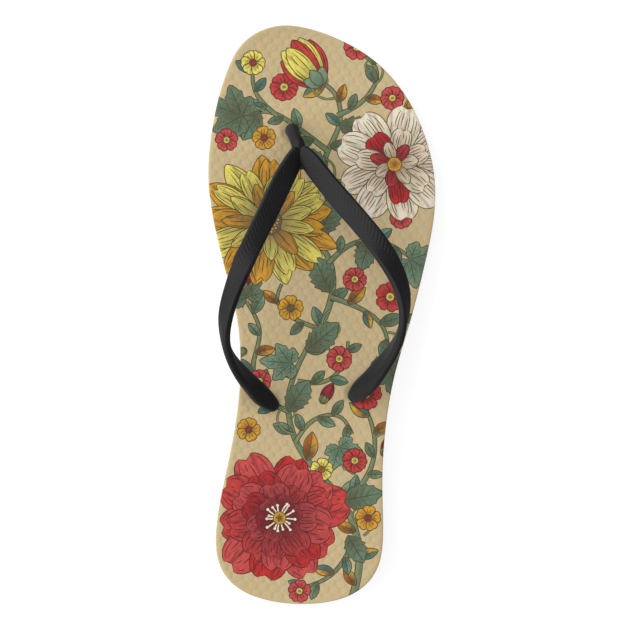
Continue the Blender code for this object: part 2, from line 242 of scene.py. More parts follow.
# --- Sole form -----------------------------------------------------------------------------------
@dataclass(frozen=True)
class SoleForm:
    """Plan outline and surface heights that the footbed and the outsole share."""

    heel_back: Spot = (-8.0, -131.0)
    toe_tip: Spot = (-17.5, 130.95)
    outline: tuple[Triple, ...] = (
        # y, medial x, lateral x
        (-126.0, -34.0, 15.0),
        (-114.0, -45.9, 25.7),
        (-96.0, -47.7, 28.0),
        (-74.0, -43.9, 27.7),
        (-50.0, -39.2, 29.3),
        (-26.0, -36.9, 33.6),
        (-2.0, -38.4, 40.6),
        (22.0, -44.2, 46.7),
        (42.0, -48.9, 50.7),
        (62.0, -51.35, 51.25),
        (82.0, -49.95, 46.5),
        (100.0, -46.25, 37.6),
        (114.0, -41.3, 25.2),
        (124.0, -34.6, 9.3),
    )
    heel_thick: float = 18.0
    ball_thick: float = 15.0
    toe_thick: float = 12.0
    heel_to_ball: Spot = (-62.0, 36.0)
    ball_to_toe: Spot = (78.0, 131.0)
    toe_spring: float = 5.0
    spring_start: float = 80.0
    heel_kick: float = 1.0
    kick_start: float = -114.0
    arch_lift: float = 1.6
    arch_span: Spot = (-48.0, 14.0)
    dish: float = 0.8
    dish_width: float = 40.0
    layer: float = 3.2
    layer_gap: float = 0.3
    trim: float = 0.15
    curve_points: int = 1200
    around: int = 440
    reach: float = 6.0
    reach_margin: float = 1.6
    batch: int = 4000
    field_across: Spot = (-48.0, 50.0)

    def curve(self) -> Array:
        """Dense closed outline, anticlockwise, from the heel up the lateral side, moved in by trim.

        Returns:
            Points in plan.
        """
        lateral = [(row[2], row[0]) for row in self.outline]
        medial = [(row[1], row[0]) for row in reversed(self.outline)]
        loop = cubic([self.heel_back, *lateral, self.toe_tip, *medial], self.curve_points, closed=True)
        return grown(np.roll(loop, -int(np.argmin(loop[:, 1])), axis=0), -self.trim)

    def loop(self, inset: float = 0.0) -> Array:
        """Outline at even steps of its length, moved in along its normals.

        Args:
            inset: distance to move in.

        Returns:
            The points.
        """
        curve = self.curve()
        shut = np.vstack([curve, curve[:1]])
        total = arc_lengths(shut)[-1]
        loop = at_lengths(shut, np.arange(self.around) * total / self.around, columns=2)
        return grown(loop, -inset)

    def edge_x(self, y: Array) -> tuple[Array, Array]:
        """Medial and lateral x of the outline at y.

        Args:
            y: places along the sole.

        Returns:
            Medial and lateral x.
        """
        curve = self.curve()
        tip = int(np.argmax(curve[:, 1]))
        lateral = curve[: tip + 1]
        medial = np.vstack([curve[tip:], curve[:1]])[::-1]
        return (
            np.interp(y, medial[:, 1], medial[:, 0]),
            np.interp(y, lateral[:, 1], lateral[:, 0]),
        )

    def rise(self, y: Array) -> Array:
        """Lift of the underside at the toe and the heel, growing with the square of the run.

        Args:
            y: places along the sole.

        Returns:
            Height of each.
        """
        toe = np.clip((y - self.spring_start) / (self.toe_tip[1] - self.spring_start), 0.0, None)
        heel = np.clip((self.kick_start - y) / (self.kick_start - self.heel_back[1]), 0.0, None)
        return self.toe_spring * toe**2 + self.heel_kick * heel**2

    def underside(self, plan: Array) -> Array:
        """Bottom of the outsole: level across, with a squared sine under the arch.

        Args:
            plan: points in plan.

        Returns:
            Height of each.
        """
        back, front = self.arch_span
        t = np.clip((plan[:, 1] - back) / (front - back), 0.0, 1.0)
        return self.rise(plan[:, 1]) + self.arch_lift * np.sin(np.pi * t) ** 2

    def top(self, plan: Array) -> Array:
        """Top of the footbed: thickness along the foot, less a parabolic dish across it.

        Args:
            plan: points in plan.

        Returns:
            Height of each.
        """
        x, y = plan[:, 0], plan[:, 1]
        thick = self.heel_thick + (self.ball_thick - self.heel_thick) * smooth_step(*self.heel_to_ball, y)
        thick = thick + (self.toe_thick - self.ball_thick) * smooth_step(*self.ball_to_toe, y)
        left, right = self.edge_x(y)
        across = np.clip((x - left) / np.maximum(right - left, 1.0), 0.0, 1.0) * 2.0 - 1.0
        dish = self.dish * smooth_step(0.0, self.dish_width, right - left)
        return self.rise(y) + thick - dish * (1.0 - across**2)

    def layer_line(self, plan: Array) -> Array:
        """Underside of the footbed layer."""
        return self.top(plan) - self.layer

    def outsole_top(self, plan: Array) -> Array:
        """Top of the outsole, a gap below the footbed layer."""
        return self.layer_line(plan) - self.layer_gap

    def inset_of(self, plan: Array) -> Array:
        """Distance in from the outline, exact near it and capped at reach; negative outside.

        Args:
            plan: points in plan.

        Returns:
            Distance of each.
        """
        loop, reach = self.loop(), self.reach
        found = np.full(len(plan), reach)
        left, right = self.edge_x(plan[:, 1])
        margin = self.reach_margin * reach
        ends = (plan[:, 1] < self.heel_back[1] + 2.0 * margin) | (plan[:, 1] > self.toe_tip[1] - 2.0 * margin)
        near = np.flatnonzero((plan[:, 0] < left + margin) | (plan[:, 0] > right - margin) | ends)
        start, step = loop, np.roll(loop, -1, axis=0) - loop
        square = np.sum(step**2, axis=1)
        for part in np.array_split(near, max(1, len(near) // self.batch)):
            gap = plan[part][:, None, :] - start[None]
            t = np.clip(np.sum(gap * step, axis=2) / square, 0.0, 1.0)
            distance = np.linalg.norm(gap - t[..., None] * step, axis=2).min(axis=1)
            sign = np.where(inside(plan[part], loop), 1.0, -1.0)
            found[part] = np.minimum(sign * distance, reach)
        return found

    def spread(self, pitch: Spot, along: Spot, inset: float, clear: float) -> Array:
        """Grid of points between two y, an inset in from the outline and clear of the holes' middles."""
        spots = grid_points(np.arange(*self.field_across, pitch[0]), np.arange(*along, pitch[1]))
        return spots[(self.inset_of(spots) > inset) & (hole_distance(spots) > clear)]


# --- Meshes --------------------------------------------------------------------------------------
@dataclass(frozen=True)
class PlanMesh:
    """Triangles in plan inside an outer loop and outside its holes."""

    plan: Array
    faces: Array
    outer: Array
    holes: tuple[Array, ...]


def plan_mesh(outer: Array, holes: Sequence[Array], points: Array, edges: Array) -> PlanMesh:
    """Constrained Delaunay triangles through the loops, the points and the edges between them.

    Args:
        outer: anticlockwise outer loop.
        holes: loops that bound holes.
        points: further points inside.
        edges: index pairs into points that stay edges of the mesh.

    Returns:
        The triangles, wound to face up, with the indices of each loop's points.
    """
    loops = [outer, *holes]
    rows, pairs, first = [], [], 0
    for loop in loops:
        rows.append(loop)
        pairs.append(ring_edges(len(loop), first))
        first += len(loop)
    rows.append(points)
    pairs.append(np.asarray(edges, dtype=int).reshape(-1, 2) + first)
    given = [Vector((float(x), float(y))) for x, y in np.vstack(rows)]
    made = delaunay_2d_cdt(given, np.vstack(pairs).tolist(), [], 0, JOIN_WITHIN, False)
    plan = np.array([tuple(v) for v in made[0]])
    faces = np.array([f for f in made[2]])
    a, b, c = (plan[faces[:, k]] for k in range(3))
    middle = (a + b + c) / 3.0
    keep = inside(middle, outer)
    for hole in holes:
        keep[inside_box(middle, hole)] = False
    turn = (b[:, 0] - a[:, 0]) * (c[:, 1] - a[:, 1]) - (b[:, 1] - a[:, 1]) * (c[:, 0] - a[:, 0])
    faces = np.where((turn > 0)[:, None], faces, faces[:, ::-1])[keep & (np.abs(turn) > TINY)]
    used, faces = np.unique(faces, return_inverse=True)
    plan, faces = plan[used], faces.reshape(-1, 3)
    found = [np.argmin(np.abs(plan[None] - loop[:, None]).sum(2), axis=1) for loop in loops]
    return PlanMesh(plan, faces, found[0], tuple(found[1:]))


class Shell:
    """Closed surface put together from plates and strips, with a colour at each face corner."""

    def __init__(self) -> None:
        """Start with no points and no faces."""
        self.points: list[Array] = []
        self.faces: list[list[int]] = []
        self.colours: list[Array] = []
        self.count = 0

    def add_points(self, points: Array) -> Array:
        """Add points in millimetres and return their indices.

        Args:
            points: points in plan.

        Returns:
            Their indices.
        """
        self.points.append(np.asarray(points, dtype=float))
        first, self.count = self.count, self.count + len(points)
        return np.arange(first, self.count)

    def add_faces(self, faces: Array, colours: Array) -> None:
        """Add faces of one size, with one colour for all or one for each corner."""
        self.faces += faces.tolist()
        self.colours.append(np.broadcast_to(colours, (*faces.shape, 3)).reshape(-1, 3))

    def plate(self, mesh: PlanMesh, z: Array, faces_up: bool, colours: Array) -> tuple[Array, list[Array]]:
        """Lay a plan mesh at given heights.

        Args:
            mesh: triangles in plan.
            z: height of each point.
            faces_up: False turns the faces over.
            colours: one colour for all, or one for each corner.

        Returns:
            The indices of its outer loop and of its hole loops.
        """
        index = self.add_points(np.column_stack([mesh.plan, z]))
        faces = index[mesh.faces]
        self.add_faces(faces if faces_up else faces[:, ::-1], colours)
        return index[mesh.outer], [index[hole] for hole in mesh.holes]

    def strip(self, low: Array, high: Array, colour: Array) -> None:
        """Quads between two loops of equal length, facing away from an anticlockwise loop."""
        after_low, after_high = np.roll(low, -1), np.roll(high, -1)
        self.add_faces(np.column_stack([low, after_low, after_high, high]), colour)

    def rings(self, low: Array, rows: Sequence[Array], high: Array, colour: Array) -> None:
        """Strips from one loop through rows of points to another.

        Args:
            low: indices of the first loop.
            rows: loops of new points.
            high: indices of the last loop.
            colour: one colour for all.
        """
        for row in rows:
            between = self.add_points(row)
            self.strip(low, between, colour)
            low = between
        self.strip(low, high, colour)

    def build(self, name: str, attribute: str | None = None, sharp: float = 40.0) -> Piece:
        """Make the object, smooth but for edges sharper than an angle in degrees.

        Args:
            name: the object's name.
            attribute: name of the colour attribute, if any.
            sharp: angle in degrees.

        Returns:
            The object.
        """
        mesh = bpy.data.meshes.new(name)
        mesh.from_pydata((np.vstack(self.points) * MM).tolist(), [], self.faces)
        if attribute:
            layer = mesh.color_attributes.new(name=attribute, type="FLOAT_COLOR", domain="CORNER")
            colours = np.vstack(self.colours)
            layer.data.foreach_set("color", np.column_stack([colours, np.ones(len(colours))]).ravel())
        mesh.update()
        mesh.shade_smooth()
        mesh.set_sharp_from_angle(angle=math.radians(sharp))
        return linked(name, mesh)


def linked(name: str, mesh: bpy.types.Mesh) -> Piece:
    """New object for a mesh, linked to the scene.

    Args:
        name: the object's name.
        mesh: its mesh.

    Returns:
        The object.
    """
    obj = bpy.data.objects.new(name, mesh)
    bpy.context.scene.collection.objects.link(obj)
    return obj


# --- Node sheets ---------------------------------------------------------------------------------
class Wire:
    """An output socket that takes part in sums, each of which adds a Math node."""

    def __init__(self, sheet: "NodeSheet", socket: bpy.types.NodeSocket) -> None:
        """Hold the socket and the sheet it is on."""
        self.sheet = sheet
        self.socket = socket

    def math(self, operation: str, first: "Wire | float", second: "Wire | float") -> "Wire":
        """Math node on two values."""
        return self.sheet.add("ShaderNodeMath", {"operation": operation}, {0: first, 1: second})

    def __add__(self, other: "Wire | float") -> "Wire":
        """Sum."""
        return self.math("ADD", self, other)

    __radd__ = __add__

    def __sub__(self, other: "Wire | float") -> "Wire":
        """Difference."""
        return self.math("SUBTRACT", self, other)

    def __rsub__(self, other: "Wire | float") -> "Wire":
        """Difference from a number."""
        return self.math("SUBTRACT", other, self)

    def __mul__(self, other: "Wire | float") -> "Wire":
        """Product."""
        return self.math("MULTIPLY", self, other)

    __rmul__ = __mul__


@dataclass(frozen=True)
class Grain:
    """Noise: features about size millimetres across, moved by shift, drawn out along Y by stretch."""

    size: float
    detail: float = 2.0
    rough: float = 0.5
    shift: float = 0.0
    stretch: float = 1.0


class NodeSheet:
    """Nodes of one material or world, with one method that adds any node."""

    grain_turn = 0.6

    def __init__(self, owner: bpy.types.Material | bpy.types.World) -> None:
        """Start with no nodes.

        Args:
            owner: what the nodes belong to.
        """
        owner.use_nodes = True
        self.owner = owner
        self.tree = owner.node_tree
        self.tree.nodes.clear()

    def add(self, kind: str, settings: dict, sockets: dict, output: int | str | None = 0) -> Wire | None:
        """Add a node.

        Args:
            kind: node type.
            settings: attributes set first; "stops" gives a ramp's rows of place and grey.
            sockets: values or wires for its inputs, by name or number.
            output: which output to return, None for a node that has none.

        Returns:
            The chosen output.
        """
        node = self.tree.nodes.new(kind)
        for key, value in settings.items():
            if key == "stops":
                for element, (place, grey) in zip(node.color_ramp.elements, value):
                    element.position, element.color = place, (grey, grey, grey, 1.0)
            else:
                setattr(node, key, value)
        for key, value in sockets.items():
            if isinstance(value, Wire):
                self.tree.links.new(value.socket, node.inputs[key])
            else:
                node.inputs[key].default_value = value
        return None if output is None else Wire(self, node.outputs[output])

    def place(self) -> Wire:
        """Object coordinates, in metres."""
        return self.add("ShaderNodeTexCoord", {}, {}, "Object")

    def noise(self, grain: Grain) -> Wire:
        """Noise from 0 to 1 on the object's own place.

        Args:
            grain: size and character of the noise.

        Returns:
            Its value.
        """
        spot = self.add(
            "ShaderNodeMapping", {},
            {
                "Vector": self.place(), "Location": (grain.shift, 0.0, grain.shift),
                "Rotation": (0.0, 0.0, self.grain_turn), "Scale": (grain.stretch, 1.0 / grain.stretch, 1.0),
            },
        )
        return self.add(
            "ShaderNodeTexNoise", {},
            {
                "Vector": spot, "Scale": 1.0 / (grain.size * MM),
                "Detail": grain.detail, "Roughness": grain.rough,
            },
        )

    def mix(
        self, first: Wire | tuple, second: Wire | tuple, factor: Wire | float, blend: str = "MIX",
    ) -> Wire:
        """Mix of two colours.

        Args:
            first: colour at factor 0.
            second: colour at factor 1.
            factor: share of the second.
            blend: how they mix.

        Returns:
            The mixed colour.
        """
        return self.add(
            "ShaderNodeMix", {"data_type": "RGBA", "blend_type": blend},
            {0: factor, 6: first, 7: second}, 2,
        )

    def ramp(self, value: Wire, low: float, high: float, smooth: bool = False) -> Wire:
        """0 at low and 1 at high.

        Args:
            value: value to map.
            low: value that gives 0.
            high: value that gives 1.
            smooth: eases both ends; else the rise is straight.

        Returns:
            The share from 0 to 1.
        """
        return self.add(
            "ShaderNodeMapRange", {"interpolation_type": "SMOOTHSTEP" if smooth else "LINEAR", "clamp": True},
            {"Value": value, "From Min": low, "From Max": high},
        )

    def bump(self, height: Wire, strength: float, depth: float) -> Wire:
        """Normal of a fine relief, its depth in millimetres."""
        sockets = {"Strength": strength, "Distance": depth * MM, "Height": height}
        return self.add("ShaderNodeBump", {}, sockets)

    def finish(self, sockets: dict) -> bpy.types.Material:
        """Principled shader and output; returns the material.

        Args:
            sockets: values or wires for the shader's inputs.

        Returns:
            The material.
        """
        shader = self.add("ShaderNodeBsdfPrincipled", {}, sockets)
        self.add("ShaderNodeOutputMaterial", {}, {"Surface": shader}, None)
        return self.owner


def linear(code: str) -> Triple:
    """Linear RGB of a hexadecimal sRGB colour."""
    parts = [int(code[i : i + 2], 16) / 255.0 for i in (0, 2, 4)]
    return tuple(c / 12.92 if c <= 0.04045 else ((c + 0.055) / 1.055) ** 2.4 for c in parts)


# --- Finishes ------------------------------------------------------------------------------------
@dataclass(frozen=True)
class PrintedFoam:
    """Soft printed foam: dye colours from the mesh, unevenly taken up, on a dry fine skin."""

    attribute: str = "print"
    roughness: Spot = (0.62, 0.8)
    warm: Triple = (1.13, 0.97, 0.86)
    cool: Triple = (0.93, 1.04, 0.86)
    warm_wash: Grain = Grain(2.8, 3.0, 0.6, 0.0, 1.15)
    cool_wash: Grain = Grain(2.2, 3.0, 0.6, 0.4, 1.15)
    wash_edges: Spot = (0.42, 0.66)
    wash_depth: float = 0.75
    speckle: Grain = Grain(1.3, 2.0, 0.5, 0.2, 1.15)
    cloud: Grain = Grain(3.4, 2.0, 0.5, 0.7)
    tone: Triple = (0.96, 0.08, 0.06)  # plain, and what the speckle and the cloud add
    skin: Grain = Grain(0.45, 2.0, 0.6)
    skin_bump: float = 0.12
    skin_depth: float = 0.2
    specular: float = 0.25

    def material(self) -> bpy.types.Material:
        """Dye, washes of warm and cool, a fibrous speckle, and a fine skin.

        Returns:
            The material.
        """
        sheet = NodeSheet(bpy.data.materials.new("printed_foam"))
        dye = sheet.add("ShaderNodeAttribute", {"attribute_name": self.attribute}, {}, "Color")
        warm = sheet.ramp(sheet.noise(self.warm_wash), *self.wash_edges) * self.wash_depth
        cool = sheet.ramp(sheet.noise(self.cool_wash), *self.wash_edges) * self.wash_depth
        colour = sheet.mix(dye, (*self.warm, 1.0), warm, "MULTIPLY")
        colour = sheet.mix(colour, (*self.cool, 1.0), cool, "MULTIPLY")
        speckle, cloud = sheet.noise(self.speckle), sheet.noise(self.cloud)
        tone = self.tone[0] + speckle * self.tone[1] + cloud * self.tone[2]
        grey = sheet.add("ShaderNodeCombineColor", {}, {0: tone, 1: tone, 2: tone})
        colour = sheet.mix(colour, grey, 1.0, "MULTIPLY")
        low, high = self.roughness
        return sheet.finish({
            "Base Color": colour,
            "Roughness": low + cloud * (high - low),
            "Specular IOR Level": self.specular,
            "Normal": sheet.bump(sheet.noise(self.skin), self.skin_bump, self.skin_depth),
        })


@dataclass(frozen=True)
class MouldedRubber:
    """Black moulded rubber: a close satin skin with faint flow marks.

    Its tone goes from dark to light where the flow, plus a share of the grain, passes the edges.
    """

    name: str
    dark: str
    light: str
    roughness: Spot
    specular: float
    grain: Grain
    grain_bump: float
    grain_depth: float = 0.15
    grain_share: float = 0.35
    flow: Grain = Grain(11.0, 3.0, 0.55)
    tone_edges: Spot = (0.45, 0.9)

    def material(self) -> bpy.types.Material:
        """Two near blacks, uneven gloss and a fine grain.

        Returns:
            The material.
        """
        sheet = NodeSheet(bpy.data.materials.new(self.name))
        flow, fine = sheet.noise(self.flow), sheet.noise(self.grain)
        shade = sheet.ramp(flow + fine * self.grain_share, *self.tone_edges)
        low, high = self.roughness
        return sheet.finish({
            "Base Color": sheet.mix((*linear(self.dark), 1.0), (*linear(self.light), 1.0), shade),
            "Roughness": low + flow * (high - low),
            "Specular IOR Level": self.specular,
            "Normal": sheet.bump(fine, self.grain_bump, self.grain_depth),
        })


# --- Print ---------------------------------------------------------------------------------------
class Dye(Enum):
    """Print colours: the flat colour and the deeper one near a motif's heart."""

    GROUND = ("C2AF8B", "C2AF8B")
    LINE = ("544629", "544629")
    RED = ("BF4542", "6A2A34")
    SCARLET = ("B93433", "66242E")
    ROSE = ("C3504F", "763038")
    MAROON = ("9C3742", "5E2730")
    WINE = ("55262A", "55262A")
    YELLOW = ("E2D56C", "786C4C")
    AMBER = ("D29B35", "6C5840")
    CREAM = ("E4DACA", "947C68")
    GREEN = ("657A67", "5A5F4C")
    TEAL = ("59746E", "4B625B")
    SAGE = ("78907A", "5E7260")
    OLIVE = ("7A8361", "5F6748")
    UMBER = ("6B5F50", "4A4238")
    RUST = ("A4622E", "6E452A")
    VEIN = ("3F4F3F", "3F4F3F")
    BARK = ("4A4830", "4A4830")
    FOAM = ("B9A67E", "B9A67E")

    @property
    def flat(self) -> Triple:
        """Linear colour far from the heart."""
        return linear(self.value[0])

    @property
    def deep(self) -> Triple:
        """Linear colour at the heart."""
        return linear(self.value[1])

    @property
    def pen(self) -> "Dye":
        """Dye of the fine strokes over this one."""
        return Dye.WINE if self in (Dye.RED, Dye.SCARLET, Dye.ROSE, Dye.MAROON) else Dye.LINE


@dataclass(frozen=True)
class Blade:
    """Petal or leaf that grows along +X from the origin.

    Half width at a share s of the length is s^base * (1 - s^reach)^tip, scaled to the width;
    teeth make it swell and drop, a notch bites into the tip, and bend arches the middle line.
    """

    length: float
    width: float
    base: float = 0.8
    reach: float = 3.0
    tip: float = 0.5
    teeth: int = 0
    bite: float = 0.0
    notch: float = 0.0
    bend: float = 0.0
    samples: int = 13
    notch_width: float = 0.45
    notch_start: float = 0.7
    tooth_share: float = 0.8
    wing: Spot = (0.55, 0.9)  # side places beside the notch, and where along their width is taken

    def profile(self, s: Array) -> Array:
        """Half width at shares of the length, without teeth.

        Args:
            s: shares of the length.

        Returns:
            Half width at each.
        """
        fine = np.linspace(0.0, 1.0, 101)
        peak = np.max(fine**self.base * (1.0 - fine**self.reach) ** self.tip)
        return self.width / 2.0 * s**self.base * (1.0 - s**self.reach) ** self.tip / peak

    def at(self, s: Array, across: Array) -> Array:
        """Points at shares of the length and of the half width.

        Args:
            s: shares of the length.
            across: shares of the half width.

        Returns:
            The points.
        """
        half = self.profile(s)
        bite = self.notch * np.exp(-((across / self.notch_width) ** 2))
        x = self.length * (s - bite * smooth_step(self.notch_start, 1.0, s))
        return np.column_stack([x, across * half + self.bend * self.length * s**2])

    def outline(self) -> Array:
        """Closed anticlockwise outline.

        Returns:
            The loop.
        """
        if self.teeth:
            low = np.arange(self.teeth) / self.teeth
            s = np.sort(np.concatenate([low, low + self.tooth_share / self.teeth]))
            swell = np.where(np.arange(len(s)) % 2, 1.0 + self.bite, 1.0 - self.bite)
            s, swell = np.append(s, 1.0), np.append(swell, 1.0)
            swell[0] = 1.0
        else:
            s = 0.5 - 0.5 * np.cos(np.linspace(0.0, np.pi, self.samples))
            swell = np.ones_like(s)
        right = self.at(s, -swell)
        left = self.at(s, swell)[::-1]
        if self.notch:
            out, along = self.wing
            wings = np.array([-out, 0.0, out])
            crown = np.column_stack([
                self.length * (1.0 - self.notch * np.exp(-((wings / self.notch_width) ** 2))),
                wings * self.profile(np.array([along])) + self.bend * self.length,
            ])
            return anticlockwise(np.vstack([right[:-1], crown, left[1:-1]]))
        return anticlockwise(np.vstack([right, left[1:-1]]))


@dataclass
class PrintSheet:
    """Closed patches in painting order: the last one printed shows."""

    line: float = 0.4
    loops: list[Array] = field(default_factory=list)
    dyes: list[Dye] = field(default_factory=list)
    hearts: list[Spot] = field(default_factory=list)
    reaches: list[float] = field(default_factory=list)
    solid: list[bool] = field(default_factory=list)

    def lay(
        self, loop: Array, dye: Dye, heart: Spot = (0.0, 0.0), reach: float = 0.0, solid: bool = True,
    ) -> None:
        """Print a patch whose colour deepens towards a heart.

        Args:
            loop: closed anticlockwise outline.
            dye: its colours.
            heart: where it is deepest.
            reach: distance over which it deepens, 0 for a flat colour.
            solid: hides the outlines under it; a fine stroke needn't.
        """
        self.loops.append(loop)
        self.dyes.append(dye)
        self.hearts.append(heart)
        self.reaches.append(reach)
        self.solid.append(solid)

    def lined(
        self, loops: Sequence[Array], dye: Dye, heart: Spot, reach: float, pen: Dye = Dye.LINE,
    ) -> None:
        """Print one form made of loops, with its contour line round the whole.

        Args:
            loops: closed outlines that overlap.
            dye: its colours.
            heart: where it is deepest.
            reach: distance over which it deepens.
            pen: colour of the contour.
        """
        for loop in loops:
            self.lay(grown(loop, self.line), pen)
        for loop in loops:
            self.lay(loop, dye, heart, reach)

    def stroke(self, path: Array, wide: float, dye: Dye) -> None:
        """Print a pen stroke along a path, as thin at its ends as a lifted nib."""
        swell = 0.25 + 0.75 * np.sin(np.pi * np.linspace(0.06, 0.94, len(path))) ** 0.8
        self.lay(ribbon(path, wide * swell), dye, solid=False)


def ribbon(path: Array, widths: Array) -> Array:
    """Closed anticlockwise loop at half the width each side of a path.

    Args:
        path: points along the middle.
        widths: full width at each.

    Returns:
        The loop.
    """
    along = unit(np.gradient(path, axis=0))
    side = np.column_stack([-along[:, 1], along[:, 0]]) * np.asarray(widths)[:, None] / 2.0
    return anticlockwise(np.vstack([path + side, (path - side)[::-1]]))


@dataclass(frozen=True)
class Stand:
    """Where a motif's foot is, and its bearing in degrees."""

    place: Spot
    turn: float

    def put(self, points: Array) -> Array:
        """Points turned and moved to the place."""
        return turned(points, self.turn) + np.array(self.place)

    def fan(self, degrees: float) -> "Stand":
        """The same place, turned further."""
        return Stand(self.place, self.turn + degrees)


@dataclass
class FloralPrint:
    """Generic meadow print: three large blooms, sprigs and loose flowers on winding stems."""

    seed: int = 11
    nib: float = 0.4
    fine_nib: float = 0.28
    pen_reach: float = 0.93
    pen_least: float = 0.12
    pen_side: float = 0.74
    seed_turn: float = 137.508
    wave: Spot = (0.04, 2.4)
    thread: tuple[float, ...] = (0.5, 0.55, 0.6, 0.6, 0.65)
    vein_gap: float = 4.5
    sheet: PrintSheet = field(default_factory=PrintSheet)

    def __post_init__(self) -> None:
        """Seed the small unevenness of hand-drawn forms."""
        self.rng = np.random.default_rng(self.seed)

    def jitter(self, spread: float) -> float:
        """A small random amount either side of nothing."""
        return float(self.rng.uniform(-spread, spread))

    def hatch(self, blade: Blade, stand: Stand, lines: int, span: Spot, pen: Dye) -> None:
        """Pen strokes that run along a blade: long ones from its base, short ones from its tip.

        Args:
            blade: form that they follow.
            stand: where its base is, and its bearing.
            lines: number of strokes.
            span: shares of the length between which the long ones run.
            pen: their colour.
        """
        for k, across in enumerate(np.linspace(-self.pen_side, self.pen_side, lines)):
            if k % 2:
                start, end = span[0] + self.jitter(0.06), span[1] - 0.25 * abs(across) + self.jitter(0.1)
            else:
                start = 0.5 * (span[0] + span[1]) + self.jitter(0.12)
                end = start + 0.32 + self.jitter(0.08)
            s = np.linspace(start, min(max(end, start + self.pen_least), self.pen_reach), 6)
            path = blade.at(s, np.full_like(s, across + self.jitter(0.05)))
            self.sheet.stroke(stand.put(path), self.nib, pen)

    def petal(
        self, blade: Blade, stand: Stand, dye: Dye, reach: float, lines: int, span: Spot = (0.15, 0.75),
    ) -> None:
        """One petal with its contour, colours that deepen towards its base, and its pen strokes."""
        self.sheet.lined([stand.put(blade.outline())], dye, stand.place, reach, dye.pen)
        self.hatch(blade, stand, lines, span, dye.pen)

    def ring(
        self, centre: Spot, count: int, blade: Blade, dyes: Sequence[Dye], start: float, reach: float,
        lines: int, span: Spot,
    ) -> None:
        """Petals round a centre, each a little uneven in length, width, bend and turn.

        Args:
            centre: middle of the bloom.
            count: number of petals.
            blade: form of an even petal.
            dyes: colours taken in turn.
            start: bearing of the first, in degrees.
            reach: distance over which the colours deepen.
            lines: pen strokes on each.
            span: shares of the length between which the long ones run.
        """
        for i in range(count):
            own = replace(
                blade,
                length=blade.length * (1.0 + self.jitter(0.1)),
                width=blade.width * (1.0 + self.jitter(0.12)),
                bend=blade.bend + self.jitter(0.06),
            )
            turn = start + 360.0 * i / count + self.jitter(45.0 / count)
            self.petal(own, Stand(centre, turn), dyes[i % len(dyes)], reach, lines, span)

    def disc(self, centre: Spot, radius: float, dye: Dye, count: int) -> None:
        """Lined round patch with a slightly wavy edge.

        Args:
            centre: its middle.
            radius: its radius.
            dye: its colours.
            count: points round it.
        """
        loop = circle((0.0, 0.0), 1.0, count)
        height, pace = self.wave
        radii = radius * (1.0 + height * np.sin(np.arange(count) * pace))
        self.sheet.lined([loop * radii[:, None] + np.array(centre)], dye, centre, radius)

    def seeds(self, centre: Spot, radius: float, count: int, dye: Dye, size: float) -> None:
        """Dots on a sunflower spiral: the k-th lies at sqrt(k) and k golden angles.

        Args:
            centre: its middle.
            radius: distance of the last.
            count: how many.
            dye: its colours.
            size: radius of a dot.
        """
        k = np.arange(count) + 0.5
        r, a = radius * np.sqrt(k / count), k * math.radians(self.seed_turn)
        for x, y in zip(centre[0] + r * np.cos(a), centre[1] + r * np.sin(a)):
            self.sheet.lay(circle((float(x), float(y)), size, 6), dye, solid=False)

    def stamens(self, centre: Spot, inner: float, outer: float, count: int, dye: Dye) -> None:
        """Short curved filaments round a centre, each with a dot at its end.

        Args:
            centre: its middle.
            inner: where they start.
            outer: where they end, about.
            count: how many.
            dye: its colours.
        """
        for i in range(count):
            a = 2.0 * math.pi * (i + self.jitter(0.25)) / count
            far = outer * (1.0 + self.jitter(0.2))
            reach = np.linspace(inner, far, 5)
            angle = a + self.jitter(0.25) * ((reach - inner) / outer) ** 2
            path = np.array(centre) + reach[:, None] * np.column_stack([np.cos(angle), np.sin(angle)])
            for tone, proud, dot in ((Dye.LINE, 0.2, 0.85), (dye, 0.0, 0.65)):
                self.sheet.lay(grown(ribbon(path, self.thread), proud), tone, solid=False)
                self.sheet.lay(circle(tuple(path[-1]), dot, 8), tone, solid=False)

    def sun_bloom(self, centre: Spot, size: float, start: float) -> None:
        """Large yellow and amber bloom: three rings of pointed petals round a seeded disc.

        Args:
            centre: its middle.
            size: length of the longest petals.
            start: bearing of the first petal, in degrees.
        """
        self.sheet.lay(circle(centre, size * 0.6, 40), Dye.UMBER, centre, size * 0.6)
        long = Blade(size, size * 0.33, 0.8, 2.4, 0.8, samples=15)
        split = Blade(size * 0.86, size * 0.28, 0.8, 3.0, 0.6, notch=0.1, samples=15)
        short = Blade(size * 0.6, size * 0.2, 0.8, 2.4, 0.8, samples=13)
        self.ring(centre, 13, long, (Dye.AMBER, Dye.YELLOW, Dye.AMBER), start, size * 0.95, 6, (0.3, 0.85))
        dyes = (Dye.YELLOW, Dye.YELLOW, Dye.AMBER)
        self.ring(centre, 12, split, dyes, start + 13.0, size * 0.9, 5, (0.3, 0.85))
        self.ring(centre, 11, short, (Dye.YELLOW, Dye.AMBER), start + 5.0, size * 0.8, 3, (0.35, 0.85))
        self.disc(centre, size * 0.18, Dye.UMBER, 24)
        self.seeds(centre, size * 0.15, 36, Dye.AMBER, size * 0.013)
        self.seeds(centre, size * 0.055, 7, Dye.YELLOW, size * 0.015)

